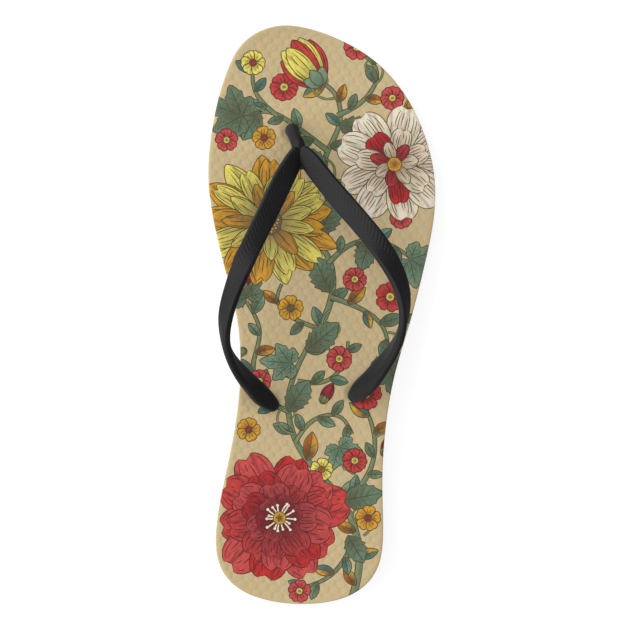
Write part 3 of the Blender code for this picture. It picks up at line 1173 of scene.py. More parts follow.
    def rose_bloom(self, centre: Spot, size: float, start: float) -> None:
        """Large red bloom: four rings of broad notched petals round a small yellow heart.

        Args:
            centre: its middle.
            size: length of the longest petals.
            start: bearing of the first petal, in degrees.
        """
        self.sheet.lay(circle(centre, size * 0.7, 40), Dye.MAROON, centre, size * 0.7)
        dyes = (Dye.RED, Dye.ROSE, Dye.SCARLET, Dye.ROSE, Dye.RED)
        for count, share, wide, span in (
            (10, 1.0, 0.56, (0.55, 0.92)), (9, 0.8, 0.5, (0.5, 0.9)),
            (7, 0.58, 0.42, (0.4, 0.9)), (6, 0.36, 0.28, (0.3, 0.85)),
        ):
            blade = Blade(size * share, size * wide, 0.75, 3.4, 0.55, notch=0.09, samples=15)
            self.ring(centre, count, blade, dyes, start, size * 0.9, 7, span)
            start += 21.0
        self.stamens(centre, size * 0.08, size * 0.2, 15, Dye.CREAM)
        self.disc(centre, size * 0.09, Dye.AMBER, 16)
        self.seeds(centre, size * 0.06, 9, Dye.LINE, size * 0.011)

    def pale_bloom(self, centre: Spot, size: float, start: float) -> None:
        """Large cream bloom: broad petals, red ones among the inner rings, and a dotted amber heart.

        Args:
            centre: its middle.
            size: length of the longest petals.
            start: bearing of the first petal, in degrees.
        """
        self.sheet.lay(circle(centre, size * 0.6, 36), Dye.UMBER, centre, size * 0.6)
        blade = Blade(size, size * 0.56, 0.7, 3.2, 0.5, notch=0.06, samples=15)
        self.ring(centre, 9, blade, (Dye.CREAM,), start, size * 0.9, 8, (0.3, 0.9))
        middle = Blade(size * 0.7, size * 0.4, 0.7, 3.0, 0.5, notch=0.08, samples=13)
        dyes = (Dye.CREAM, Dye.CREAM, Dye.SCARLET)
        self.ring(centre, 7, middle, dyes, start + 20.0, size * 0.8, 6, (0.3, 0.9))
        inner = Blade(size * 0.42, size * 0.22, 0.7, 2.6, 0.7, samples=12)
        self.ring(centre, 7, inner, (Dye.CREAM, Dye.RED), start + 8.0, size * 0.6, 3, (0.3, 0.85))
        self.disc(centre, size * 0.12, Dye.AMBER, 18)
        self.seeds(centre, size * 0.09, 12, Dye.RUST, size * 0.014)

    def tulip(self, stand: Stand, size: float) -> None:
        """Half-open cup seen from the side: a fan of red and yellow petals from a green foot.

        Args:
            stand: where its foot is, and its bearing.
            size: its height.
        """
        for angle, share, dye in (
            (-34.0, 0.86, Dye.RED), (34.0, 0.86, Dye.RED), (-19.0, 0.97, Dye.YELLOW),
            (19.0, 0.97, Dye.YELLOW), (-7.0, 1.0, Dye.RED), (9.0, 0.94, Dye.YELLOW),
        ):
            bend = -0.2 * angle / 34.0
            blade = Blade(size * share, size * 0.36, 0.62, 2.6, 0.8, bend=bend, samples=14)
            self.petal(blade, stand.fan(angle), dye, size * 0.6, 4, (0.2, 0.85))
        cup = Blade(size * 0.34, size * 0.2, 0.6, 1.6, 0.9, samples=9)
        self.cup(stand, size, cup, 40.0, Dye.SAGE)

    def cup(self, stand: Stand, size: float, blade: Blade, fan: float, dye: Dye) -> None:
        """Green foot of a flower seen from the side: two outer leaves, then one in the middle."""
        for angle in (-fan, fan, 0.0):
            self.sheet.lined([stand.fan(angle).put(blade.outline())], dye, stand.place, size * 0.3)

    def small_flower(
        self, centre: Spot, size: float, start: float, petals: int, dyes: tuple[Dye, Dye],
    ) -> None:
        """Loose flower of round creased petals with a dotted heart.

        Args:
            centre: its middle.
            size: length of a petal.
            start: bearing of the first petal, in degrees.
            petals: number of petals.
            dyes: colours of the petals and of the heart.
        """
        dye, heart = dyes
        blade = Blade(size, size * 0.92, 0.85, 3.6, 0.5, notch=0.06, samples=9)
        for i in range(petals):
            stand = Stand(centre, start + 360.0 * i / petals + self.jitter(6.0))
            self.sheet.lined([stand.put(blade.outline())], dye, centre, size * 0.75, dye.pen)
            for side in (-0.3, 0.3):
                crease = blade.at(np.linspace(0.38, 0.74, 4), np.full(4, side))
                self.sheet.stroke(stand.put(crease), self.fine_nib, dye.pen)
        self.disc(centre, size * 0.27, heart, 10)
        self.seeds(centre, size * 0.13, 3, Dye.RUST, 0.28)

    def leaf(
        self, stand: Stand, length: float, width: float, dye: Dye, teeth: int = 0,
        bend: float = 0.0, half: Dye | None = None,
    ) -> None:
        """Leaf with a midrib and paired veins, toothed or two-toned where asked.

        Args:
            stand: where its stalk ends, and its bearing.
            length: its length.
            width: its greatest width.
            dye: its colours.
            teeth: number of teeth on each side.
            bend: arch of its midrib, as a share of the length.
            half: colours of its left half, where they differ.
        """
        bite = 0.12 if teeth else 0.0
        blade = Blade(length, width, 0.7, 1.7, 1.0, teeth, bite, bend=bend, samples=12)
        heart = tuple(stand.put(blade.at(np.array([0.2]), np.zeros(1)))[0])
        self.sheet.lined([stand.put(blade.outline())], dye, heart, length * 0.55, Dye.BARK)
        if half:
            s = np.linspace(0.0, 1.0, 11)
            flank = np.vstack([blade.at(s, np.zeros(11)), blade.at(s[1:-1], np.full(9, 0.96))[::-1]])
            self.sheet.lay(stand.put(flank), half, heart, length * 0.5, solid=False)
        self.rib(blade, stand, (0.02, 0.92, 7))
        pairs = max(2, int(length / self.vein_gap))
        for k in range(pairs):
            root = 0.14 + 0.62 * k / pairs
            self.veins(blade, stand, [root, root + 0.08, root + 0.15], [0.0, 0.42, 0.76], self.fine_nib)

    def rib(self, blade: Blade, stand: Stand, run: tuple[float, float, int]) -> None:
        """Midrib of a leaf, from one share of its length to another in a number of points."""
        spine = blade.at(np.linspace(*run), np.zeros(run[2]))
        self.sheet.stroke(stand.put(spine), self.nib, Dye.VEIN)

    def veins(
        self, blade: Blade, stand: Stand, along: list[float], out: list[float], wide: float,
    ) -> None:
        """One pair of a leaf's veins.

        Args:
            blade: form of the leaf.
            stand: where its stalk ends, and its bearing.
            along: shares of the length that a vein passes.
            out: shares of the half width there.
            wide: width of the stroke.
        """
        for side in (-1.0, 1.0):
            vein = blade.at(np.array(along), side * np.array(out))
            self.sheet.stroke(stand.put(vein), wide, Dye.VEIN)

    def lobed_leaf(self, stand: Stand, size: float, dye: Dye) -> None:
        """Five toothed lobes from one stalk point, in one contour.

        Args:
            stand: where its foot is, and its bearing.
            size: length of the middle lobe.
            dye: its colours.
        """
        forms = []
        for angle, share in ((-96.0, 0.5), (96.0, 0.5), (-48.0, 0.78), (48.0, 0.78), (0.0, 1.0)):
            lobe = Blade(size * share, size * 0.46 * (0.7 + 0.3 * share), 0.62, 1.9, 0.9, 4, 0.13)
            forms.append((lobe, stand.fan(angle)))
        heart = tuple(stand.put(np.array([[size * 0.15, 0.0]]))[0])
        self.sheet.lined([own.put(lobe.outline()) for lobe, own in forms], dye, heart, size * 0.6, Dye.BARK)
        for lobe, own in forms:
            self.rib(lobe, own, (0.04, 0.86, 6))
            for root in (0.28, 0.5):
                self.veins(lobe, own, [root, root + 0.09, root + 0.17], [0.0, 0.35, 0.66], 0.26)

    def bud(self, stand: Stand, size: float, dye: Dye) -> None:
        """Closed bud: two outer petals, a middle one and a green cup.

        Args:
            stand: where its foot is, and its bearing.
            size: its height.
            dye: its colours.
        """
        for bend, angle in ((0.14, -9.0), (-0.14, 9.0)):
            side = Blade(size, size * 0.42, 0.7, 1.9, 0.9, bend=bend, samples=10)
            self.petal(side, stand.fan(angle), dye, size * 0.9, 2)
        middle = Blade(size * 0.92, size * 0.36, 0.7, 1.9, 0.9, samples=10)
        self.petal(middle, stand, dye, size * 0.8, 2)
        cup = Blade(size * 0.36, size * 0.2, 0.6, 1.6, 0.9, samples=8)
        self.cup(stand, size, cup, 28.0, Dye.OLIVE)

    def tendril(self, stand: Stand, size: float, hand: float) -> None:
        """Curl whose radius shrinks as it winds, drawn as a fine stem.

        Args:
            stand: where its foot is, and its bearing.
            size: its size.
            hand: 1 curls to the left, -1 to the right.
        """
        t = np.linspace(0.0, 1.0, 36)
        angle = hand * (0.2 + 7.0 * t**1.2)
        steps = size * 0.16 * (1.0 - 0.86 * t)
        path = np.cumsum(steps[:, None] * np.column_stack([np.cos(angle), np.sin(angle)]), axis=0)
        path = stand.put(path - path[0])
        self.sheet.lay(ribbon(path, np.linspace(1.3, 0.75, 36)), Dye.BARK)
        self.sheet.lay(ribbon(path, np.linspace(0.75, 0.3, 36)), Dye.OLIVE)

    def stem(self, rows: Sequence[Spot], wide: float, gap: float, size: float) -> None:
        """Winding stem through a few points, thinning along its length, a thick one with a shaded side.

        Args:
            rows: points that the stem winds through.
            wide: width at its root.
            gap: distance between leaves, set left and right in turn.
            size: mean length of the leaves.
        """
        path = cubic(rows, 200)
        total = arc_lengths(path)[-1]
        path = at_lengths(path, np.linspace(0.0, total, max(6, int(total / 2.0))), columns=2)
        widths = wide * np.linspace(1.0, 0.5, len(path))
        self.sheet.lay(ribbon(path, widths + 2.0 * self.sheet.line), Dye.BARK)
        self.sheet.lay(ribbon(path, widths), Dye.OLIVE)
        along = unit(np.gradient(path, axis=0))
        if wide > 1.6:
            side = path + np.column_stack([along[:, 1], -along[:, 0]]) * widths[:, None] * 0.22
            self.sheet.lay(ribbon(side, widths * 0.34), Dye.GREEN, solid=False)
        tones = (
            (Dye.GREEN, None), (Dye.TEAL, None), (Dye.SAGE, Dye.GREEN), (Dye.TEAL, Dye.AMBER),
            (Dye.GREEN, None), (Dye.AMBER, Dye.RUST), (Dye.TEAL, Dye.SAGE),
        )
        for i in range(1, int(total / gap) + 1):
            k = min(int(i * gap / total * (len(path) - 1)), len(path) - 1)
            head = math.degrees(math.atan2(along[k, 1], along[k, 0]))
            hand = 1.0 if i % 2 else -1.0
            length = size * (1.0 + self.jitter(0.25))
            dye, half = tones[int(self.rng.integers(len(tones)))]
            stand = Stand(tuple(path[k]), head + hand * (52.0 + self.jitter(14.0)))
            self.leaf(stand, length, length * 0.5, dye, 0, self.jitter(0.1), half)

    def compose(self) -> PrintSheet:
        """Stems and their leaves first, then large leaves, loose flowers and blooms over them.

        Returns:
            The sheet of patches.
        """
        for rows, wide, gap, size in (
            (((12, -134), (17, -112), (9, -84), (-9, -62), (-15, -38), (-6, -14)), 3, 13, 11),
            (((-6, -14), (4, 6), (3, 26), (-10, 42), (-18, 60)), 2.6, 12, 11),
            (((8, -86), (20, -74), (24, -56), (19, -40)), 2, 9.5, 9),
            (((-14, -44), (-25, -38), (-31, -24), (-28, -8), (-34, 6)), 2, 9, 9),
            (((4, 8), (17, 3), (28, -6), (30, -20)), 1.9, 9, 9.5),
            (((2, 22), (14, 32), (27, 33), (40, 26)), 1.9, 9, 9),
            (((-2, 34), (3, 50), (1, 68), (8, 86), (6, 100), (-6, 108)), 2.4, 11, 10),
            (((7, 90), (20, 98), (25, 110), (17, 119)), 1.8, 8.5, 8.5),
            (((3, 74), (-10, 84), (-26, 92), (-42, 84)), 2, 9, 9),
            (((-20, 90), (-30, 101), (-31, 114)), 1.7, 8, 8),
            (((14, -104), (4, -118), (-10, -124)), 1.7, 8, 8),
            (((-12, -58), (-4, -48), (8, -46), (14, -54)), 1.6, 8, 8),
            (((-11, -30), (2, -30), (10, -22), (12, -12)), 1.6, 8, 8),
            (((-2, -6), (-12, -2), (-20, 6), (-18, 14)), 1.6, 8, 8),
        ):
            self.stem(rows, wide, gap, size)
        for x, y, turn, size, hand in (
            (19, -100, 20, 9, 1), (-12, -54, 190, 9, -1), (24, -56, 60, 8, -1),
            (4, 2, 200, 8, 1), (30, -8, 10, 8, -1), (3, 58, 30, 9, 1),
            (6, 98, 210, 9, -1), (-26, 92, 130, 8, 1), (24, 104, 20, 8, 1),
        ):
            self.tendril(Stand((x, y), turn), size, hand)
        for x, y, turn, length, width, bend in (
            (9, -84, 8, 19, 11, 0.05), (-15, -44, 60, 17, 10, -0.06),
            (-7, -16, 35, 19, 11, 0.08), (4, 10, 118, 18, 10.5, -0.08),
            (-1, 36, 62, 19, 11, 0.06), (2, 62, 128, 17, 10, 0),
            (8, 86, -12, 18, 10.5, -0.08), (-28, 92, 236, 15, 9.5, 0.06),
            (12, -100, 300, 14, 9, 0), (22, 34, 250, 15, 9, 0.05),
        ):
            self.leaf(Stand((x, y), turn), length, width, Dye.GREEN, 6, bend)
        for x, y, turn, size, dye in (
            (-36, 90, 160, 19, Dye.GREEN), (31, -22, 280, 17, Dye.GREEN),
            (40, 25, 330, 17, Dye.SAGE), (-34, 8, 110, 16, Dye.GREEN),
            (8, -60, 300, 14, Dye.SAGE), (-14, -22, 175, 14, Dye.SAGE),
        ):
            self.lobed_leaf(Stand((x, y), turn), size, dye)
        rose, red = (Dye.ROSE, Dye.YELLOW), (Dye.RED, Dye.YELLOW)
        amber, lemon = (Dye.AMBER, Dye.MAROON), (Dye.YELLOW, Dye.MAROON)
        for x, y, size, turn, petals, dyes in (
            (8, -20, 5.6, 30, 6, rose), (31, 8, 6.6, 0, 5, red),
            (-14, 3, 5.6, 15, 5, (Dye.AMBER, Dye.UMBER)), (15, 16, 5.2, 0, 6, rose),
            (15, 46, 5.4, 40, 5, amber), (-17, 103, 6.2, 10, 6, red),
            (16, 121, 5.8, 20, 5, rose), (-31, 114, 5.4, 0, 6, lemon),
            (-43, 79, 5, 25, 5, rose), (21, -92, 5.6, 5, 5, amber),
            (-10, -125, 5, 12, 5, rose), (15, -66, 5.4, 40, 6, red),
            (-33, -52, 5.2, 0, 5, amber), (20, -36, 7, 10, 5, red),
            (-28, -30, 5, 20, 6, rose), (36, 44, 5, 20, 6, rose),
            (-26, 80, 5.2, 30, 5, amber), (32, 98, 5.2, 12, 6, rose),
            (0, -70, 5, 12, 5, (Dye.YELLOW, Dye.RUST)),
        ):
            self.small_flower((x, y), size, turn, petals, dyes)
        for x, y, turn, size, dye in (
            (-37, 12, 60, 11, Dye.MAROON), (38, 90, 60, 11, Dye.AMBER),
            (0, -40, 60, 10, Dye.MAROON), (40, 0, 300, 10, Dye.AMBER),
            (-5, -92, 330, 10, Dye.AMBER), (28, -64, 70, 10, Dye.MAROON),
            (-34, -16, 200, 9, Dye.AMBER), (18, 72, 250, 10, Dye.MAROON),
        ):
            self.bud(Stand((x, y), turn), size, dye)
        self.tulip(Stand((0, 104), 128), 24)
        self.rose_bloom((-19, -92), 30, 8)
        self.sun_bloom((-24, 42), 32, 12)
        self.pale_bloom((33, 68), 25, 0)
        return self.sheet


# --- Footbed -------------------------------------------------------------------------------------
@dataclass
class Footbed:
    """Printed top layer: embossed with round dimpled bumps, with a rounded shoulder."""

    form: SoleForm
    pattern: PrintSheet
    shoulder: float = 0.75
    shoulder_drop: float = 0.8
    rings: tuple[float, ...] = (0.2, 0.44, 0.75)
    print_edge: float = 0.1
    outer_inset: float = 0.04
    wall_inset: float = 0.35
    wall_rows: tuple[Spot, ...] = ((0.12, 2.9), (0.0, 2.3), (0.0, 0.8), (0.005, 0.7))  # inset, drop
    hole: float = 3.15
    hole_sides: int = 40
    collars: tuple[float, ...] = (0.35, 0.8, 1.5, 2.4)
    dimple: float = 0.55
    dimple_width: float = 2.6
    fade_in: tuple[Spot, Spot] = ((0.9, 1.6), (0.6, 1.8))  # from the edge, from a hole
    bump_steps: tuple[Spot, Spot] = ((2.97, 2.75), (1.92, -3.45))
    bump_foot: float = 2.2
    bump_crest: float = 1.3
    bump_rise: float = 0.195
    bump_dimple: Spot = (0.8, 0.3)
    bump_rings: tuple[tuple[float, int], ...] = ((0.4, 6), (0.8, 7), (1.25, 9), (1.6, 10), (1.95, 11))
    bump_clear: Spot = (1.25, 1.0)  # from the edge, from a hole
    bump_cells: int = 60
    bump_field: Spot = (53.0, 133.0)
    least_gap: float = 0.3
    ink_clear: float = 0.15
    ink_digits: int = 4
    rays: tuple[int, int] = (19, 37)
    ray_phase: float = 2.3
    ray_depth: float = 0.65
    heart_core: float = 0.82
    heart_power: float = 1.3
    finish: PrintedFoam = field(default_factory=PrintedFoam)

    def bump_distance(self, plan: Array) -> Array:
        """Distance to the nearest bump's middle, the least of the four round each point's cell.

        Args:
            plan: points in plan.

        Returns:
            Distance of each.
        """
        steps = np.array(self.bump_steps)
        first = np.floor(plan @ np.linalg.inv(steps))
        corners = np.array([(0, 0), (1, 0), (0, 1), (1, 1)])
        return np.min([np.linalg.norm(plan - (first + c) @ steps, axis=1) for c in corners], axis=0)

    def bump_height(self, plan: Array) -> Array:
        """Emboss: a flat-topped bump that falls smoothly to its foot, with a dimple in its middle.

        Args:
            plan: points in plan.

        Returns:
            Height of each.
        """
        away = self.bump_distance(plan)
        width, share = self.bump_dimple
        dimple = share * (1.0 - smooth_step(0.0, width, away))
        return self.bump_rise * (1.0 - smooth_step(self.bump_crest, self.bump_foot, away) - dimple)

    def height(self, plan: Array) -> Array:
        """Top surface: the sole's form, less an elliptic shoulder at the edge and a soft dimple
        round each stem, plus the emboss, which fades out near both.

        Args:
            plan: points in plan.

        Returns:
            Height of each.
        """
        inset = self.form.inset_of(plan)
        away = hole_distance(plan) - self.hole
        near = np.clip(1.0 - inset / self.shoulder, 0.0, 1.0)
        drop = self.shoulder_drop * (1.0 - np.sqrt(1.0 - near**2))
        dip = self.dimple * (1.0 - smooth_step(0.0, self.dimple_width, away))
        fade = smooth_step(*self.fade_in[0], inset) * smooth_step(*self.fade_in[1], away)
        return self.form.top(plan) - drop - dip + fade * self.bump_height(plan)

    def bump_points(self) -> Array:
        """Points of every bump: its middle, the rings out to its foot and the pit beside it.

        Returns:
            The points.
        """
        steps = np.array(self.bump_steps)
        cells = np.arange(-self.bump_cells, self.bump_cells + 1)
        middles = grid_points(cells, cells) @ steps
        rings = [circle((0.0, 0.0), out, count) for out, count in self.bump_rings]
        own = np.vstack([[[0.0, 0.0]], [steps.sum(axis=0) / 2.0], *rings])
        points = (middles[:, None, :] + own[None]).reshape(-1, 2)
        points = points[(np.abs(points) < self.bump_field).all(axis=1)]
        edge, clear = self.bump_clear
        return points[(self.form.inset_of(points) > edge) & (hole_distance(points) > self.hole + clear)]

    def squares(self, points: Array) -> list[tuple[int, ...]]:
        """Small square of the plan that each point falls in."""
        return [tuple(key) for key in np.round(points / self.least_gap).astype(int).tolist()]

    def print_edges(self) -> tuple[Array, Array]:
        """Points and edges of the printed patches, less what later patches cover.

        An edge that crosses the sole's outline is cut at print_edge inside it.

        Returns:
            The points and the index pairs.
        """
        loops, solid = self.pattern.loops, self.pattern.solid
        points = np.vstack(loops)
        owner = np.repeat(np.arange(len(loops)), [len(loop) for loop in loops])
        cover = np.zeros(len(points), dtype=bool)
        for k, loop in enumerate(loops):
            if solid[k]:
                hit = inside_box(points, loop)
                cover[hit[owner[hit] < k]] = True
        firsts = np.concatenate([[0], np.cumsum([len(loop) for loop in loops])[:-1]])
        pairs = np.vstack([ring_edges(len(loop), first) for loop, first in zip(loops, firsts)])
        inset = self.form.inset_of(points) - self.print_edge
        clear = hole_distance(points) > self.hole + self.ink_clear
        keep = ~(cover[pairs[:, 0]] & cover[pairs[:, 1]]) & clear[pairs].all(1) & (inset[pairs] > 0.0).any(1)
        pairs = pairs[keep]
        ends = points[pairs].copy()
        d = inset[pairs]
        for near, far in ((0, 1), (1, 0)):
            out = d[:, far] <= 0.0
            share = d[out, near] / (d[out, near] - d[out, far])
            ends[out, far] = ends[out, near] + (ends[out, far] - ends[out, near]) * share[:, None]
        ends = np.round(ends.reshape(-1, 2), self.ink_digits)
        flat, index = np.unique(ends, axis=0, return_inverse=True)
        index = index.reshape(-1, 2)
        return flat, index[index[:, 0] != index[:, 1]]

    def face_colours(self, mesh: PlanMesh) -> Array:
        """Colour at each corner of the top: the last patch over the face's middle, deepened
        towards the patch's heart by its closeness, and along uneven rays that fan out from it,
        the product of two sines of the bearing.

        Args:
            mesh: the top's triangles.

        Returns:
            Three colours a face.
        """
        middle = mesh.plan[mesh.faces].mean(axis=1)
        patch = np.full(len(middle), -1)
        for k, loop in enumerate(self.pattern.loops):
            patch[inside_box(middle, loop)] = k
        flat = np.array([dye.flat for dye in self.pattern.dyes] + [Dye.GROUND.flat])
        deep = np.array([dye.deep for dye in self.pattern.dyes] + [Dye.GROUND.deep])
        hearts = np.array([*self.pattern.hearts, (0.0, 0.0)])
        reach = np.array([*self.pattern.reaches, 0.0])
        away = mesh.plan[mesh.faces] - hearts[patch][:, None]
        close = 1.0 - np.linalg.norm(away, axis=2) / np.maximum(reach[patch], TINY)[:, None]
        close = np.clip(close / self.heart_core, 0.0, 1.0) ** self.heart_power
        bearing, phase = np.arctan2(away[..., 1], away[..., 0]), patch[:, None]
        few, many = self.rays
        rays = np.sin(few * bearing + phase) * np.sin(many * bearing + self.ray_phase * phase)
        rays = self.ray_depth * np.clip(rays, 0.0, 1.0) * (reach[patch] > 0.0)[:, None]
        depth = close + (1.0 - close) * rays
        return flat[patch][:, None] + (deep[patch] - flat[patch])[:, None] * depth[..., None]

    def build(self) -> Piece:
        """Top with print and emboss, shoulder, wall, stem holes and underside.

        Returns:
            The piece.
        """
        form = self.form
        guides = [form.loop(inset) for inset in self.rings]
        for centre in HOLES.values():
            guides += [circle(centre, self.hole + out, self.hole_sides) for out in self.collars]
        firsts = np.concatenate([[0], np.cumsum([len(g) for g in guides])])
        guide_edges = [ring_edges(len(g), first) for g, first in zip(guides, firsts)]
        ink_points, ink_edges = self.print_edges()
        bumps = self.bump_points()
        taken = set(self.squares(ink_points))
        free = np.array([square not in taken for square in self.squares(bumps)])
        points = np.vstack([*guides, ink_points, bumps[free]])
        edges = np.vstack([*guide_edges, ink_edges + firsts[-1]])
        outer = form.loop(self.outer_inset)
        holes = [circle(c, self.hole, self.hole_sides) for c in HOLES.values()]
        top = plan_mesh(outer, holes, points, edges)
        foam = np.array(Dye.FOAM.flat)
        shell = Shell()
        top_rim, top_holes = shell.plate(top, self.height(top.plan), True, self.face_colours(top))
        lower = form.loop(self.wall_inset)
        inner = form.spread((8.0, 8.0), (-128.0, 130.0), 2.0, 5.0)
        base = plan_mesh(lower, holes, inner, np.empty((0, 2), int))
        low_rim, low_holes = shell.plate(base, form.layer_line(base.plan), False, foam)
        rows = []
        for inset, drop in self.wall_rows:
            loop = form.loop(inset)
            rows.append(np.column_stack([loop, form.top(loop) - drop]))
        shell.rings(low_rim, rows, top_rim, foam)
        for above, below in zip(top_holes, low_holes):
            shell.strip(above, below, foam)
        piece = shell.build("footbed_printed", self.finish.attribute)
        piece.data.materials.append(self.finish.material())
        piece.visible_glossy = False
        return piece


# --- Outsole -------------------------------------------------------------------------------------
@dataclass
class Outsole:
    """Black rubber layer: cross grooves underneath, plug seats and a ribbed side wall."""

    form: SoleForm
    groove_pitch: float = 8.6
    groove_width: float = 2.6
    groove_depth: float = 1.5
    groove_slope: float = 0.4
    groove_fields: tuple[tuple[float, int], ...] = ((-112.0, 7), (19.0, 10))
    groove_reach: Spot = (0.1, 0.9)
    groove_points: int = 40
    groove_clear: float = 0.3
    stem_bore: float = 3.4
    plug_bore: float = 8.9
    plug_recess: float = 0.8
    plug_thick: float = 2.6
    plug_clearance: float = 0.4
    boss: Spot = (10.0, 10.4)
    sides: int = 60
    foot: tuple[Spot, ...] = ((2.0, 0.0), (1.55, 0.18), (1.25, 0.5), (1.1, 1.0))
    wall_lines: tuple[float, ...] = (0.62, 0.73, 0.84)
    wall_line: tuple[Spot, ...] = ((-0.03, 0.0), (-0.012, 0.22), (0.012, 0.22), (0.03, 0.0))
    wall_top: tuple[Spot, ...] = ((0.95, 0.0), (1.0, 0.0))
    wall_inset: float = 0.35
    wall_drop: float = 0.4
    rim: Spot = (0.45, 0.12)
    top_inset: float = 0.75
    finish: MouldedRubber = MouldedRubber(
        "outsole_rubber", "111112", "1C1C1D", (0.55, 0.7), 0.4, Grain(0.7, 3.0, 0.6), 0.35,
    )

    def grooves(self) -> list[float]:
        """Start of every groove along the sole."""
        return [first + i * self.groove_pitch for first, count in self.groove_fields for i in range(count)]

    def depth(self, plan: Array) -> Array:
        """Groove depth: full inside, falling straight to nothing over the slope at every side,
        and kept off the boss round each plug.

        Args:
            plan: points in plan.

        Returns:
            Depth at each.
        """
        left, right = self.form.edge_x(plan[:, 1])
        low, high = (left + (right - left) * share for share in self.groove_reach)
        sides = np.minimum(plan[:, 0] - low, high - plan[:, 0]) / self.groove_slope
        boss = (hole_distance(plan) - self.boss[0]) / (self.boss[1] - self.boss[0])
        found = np.zeros(len(plan))
        for start in self.grooves():
            ends = np.minimum(plan[:, 1] - start, start + self.groove_width - plan[:, 1]) / self.groove_slope
            found = np.maximum(found, np.clip(np.minimum(np.minimum(ends, sides), boss), 0.0, 1.0))
        return found * self.groove_depth

    def groove_lines(self) -> tuple[Array, Array]:
        """Points and edges along the lip and the foot of every groove, and round the bosses.

        Returns:
            The points and the index pairs.
        """
        points, edges, first, count = [], [], 0, self.groove_points
        for start in self.grooves():
            for slope in (0.0, self.groove_slope):
                back, front = start + slope, start + self.groove_width - slope
                low, high = [], []
                for y in (back, front):
                    left, right = self.form.edge_x(np.array([y]))
                    low.append(left[0] + (right[0] - left[0]) * self.groove_reach[0] + slope)
                    high.append(left[0] + (right[0] - left[0]) * self.groove_reach[1] - slope)
                run = np.vstack([
                    np.column_stack([np.linspace(low[0], high[0], count), np.full(count, back)]),
                    np.column_stack([np.linspace(high[1], low[1], count), np.full(count, front)]),
                ])
                points.append(run)
                edges.append(ring_edges(len(run), first))
                first += len(run)
        points, edges = np.vstack(points), np.vstack(edges)
        edges = edges[(hole_distance(points)[edges] > self.plug_bore + self.groove_clear).all(1)]
        used, edges = np.unique(edges, return_inverse=True)
        points, edges = points[used], edges.reshape(-1, 2)
        for centre in HOLES.values():
            for radius in self.boss:
                edges = np.vstack([edges, ring_edges(self.sides, len(points))])
                points = np.vstack([points, circle(centre, radius, self.sides)])
        return points, edges

    def build(self) -> Piece:
        """Grooved bottom, foot round, lined wall, top and the three stepped holes.

        Returns:
            The piece.
        """
        form, sides = self.form, self.sides
        lines, edges = self.groove_lines()
        waist = form.spread((5.0, 3.0), (-46.0, 16.0), 3.0, 11.0)
        bores = [circle(c, self.plug_bore, sides) for c in HOLES.values()]
        stems = [circle(c, self.stem_bore, sides) for c in HOLES.values()]
        bottom = plan_mesh(form.loop(self.foot[0][0]), bores, np.vstack([lines, waist]), edges)
        shell, black = Shell(), np.zeros(3)
        z = form.underside(bottom.plan) + self.depth(bottom.plan)
        low_rim, low_bores = shell.plate(bottom, z, False, black)
        spread = form.spread((8.0, 8.0), (-128.0, 130.0), 2.5, 5.0)
        top = plan_mesh(form.loop(self.top_inset), stems, spread, np.empty((0, 2), int))
        top_rim, top_stems = shell.plate(top, form.outsole_top(top.plan), True, black)
        rows = []
        for inset, rise in self.foot[1:]:
            loop = form.loop(inset)
            rows.append(np.column_stack([loop, form.underside(loop) + rise]))
        start_in, start_up = self.foot[-1]
        for share, groove in self.wall_profile():
            loop = form.loop(start_in + (self.wall_inset - start_in) * share + groove)
            low, high = form.underside(loop) + start_up, form.outsole_top(loop) - self.wall_drop
            rows.append(np.column_stack([loop, low + (high - low) * share]))
        loop = form.loop(self.rim[0])
        rows.append(np.column_stack([loop, form.outsole_top(loop) - self.rim[1]]))
        shell.rings(low_rim, rows, top_rim, black)
        for centre, bore, stem in zip(HOLES.values(), low_bores, top_stems):
            floor = float(form.underside(np.array([centre]))[0])
            shelf = floor + self.plug_recess + self.plug_thick + self.plug_clearance
            wide, slim = (
                shell.add_points(np.column_stack([circle(centre, radius, sides), np.full(sides, shelf)]))
                for radius in (self.plug_bore, self.stem_bore)
            )
            shell.strip(wide, bore, black)
            shell.strip(slim, wide, black)
            shell.strip(stem, slim, black)
        piece = shell.build("outsole_rubber")
        piece.data.materials.append(self.finish.material())
        piece.visible_glossy = False
        return piece

    def wall_profile(self) -> list[Spot]:
        """Shares up the side wall, with the depth of the fine lines moulded into it."""
        lines = [(middle + up, deep) for middle in self.wall_lines for up, deep in self.wall_line]
        return [*lines, *self.wall_top]


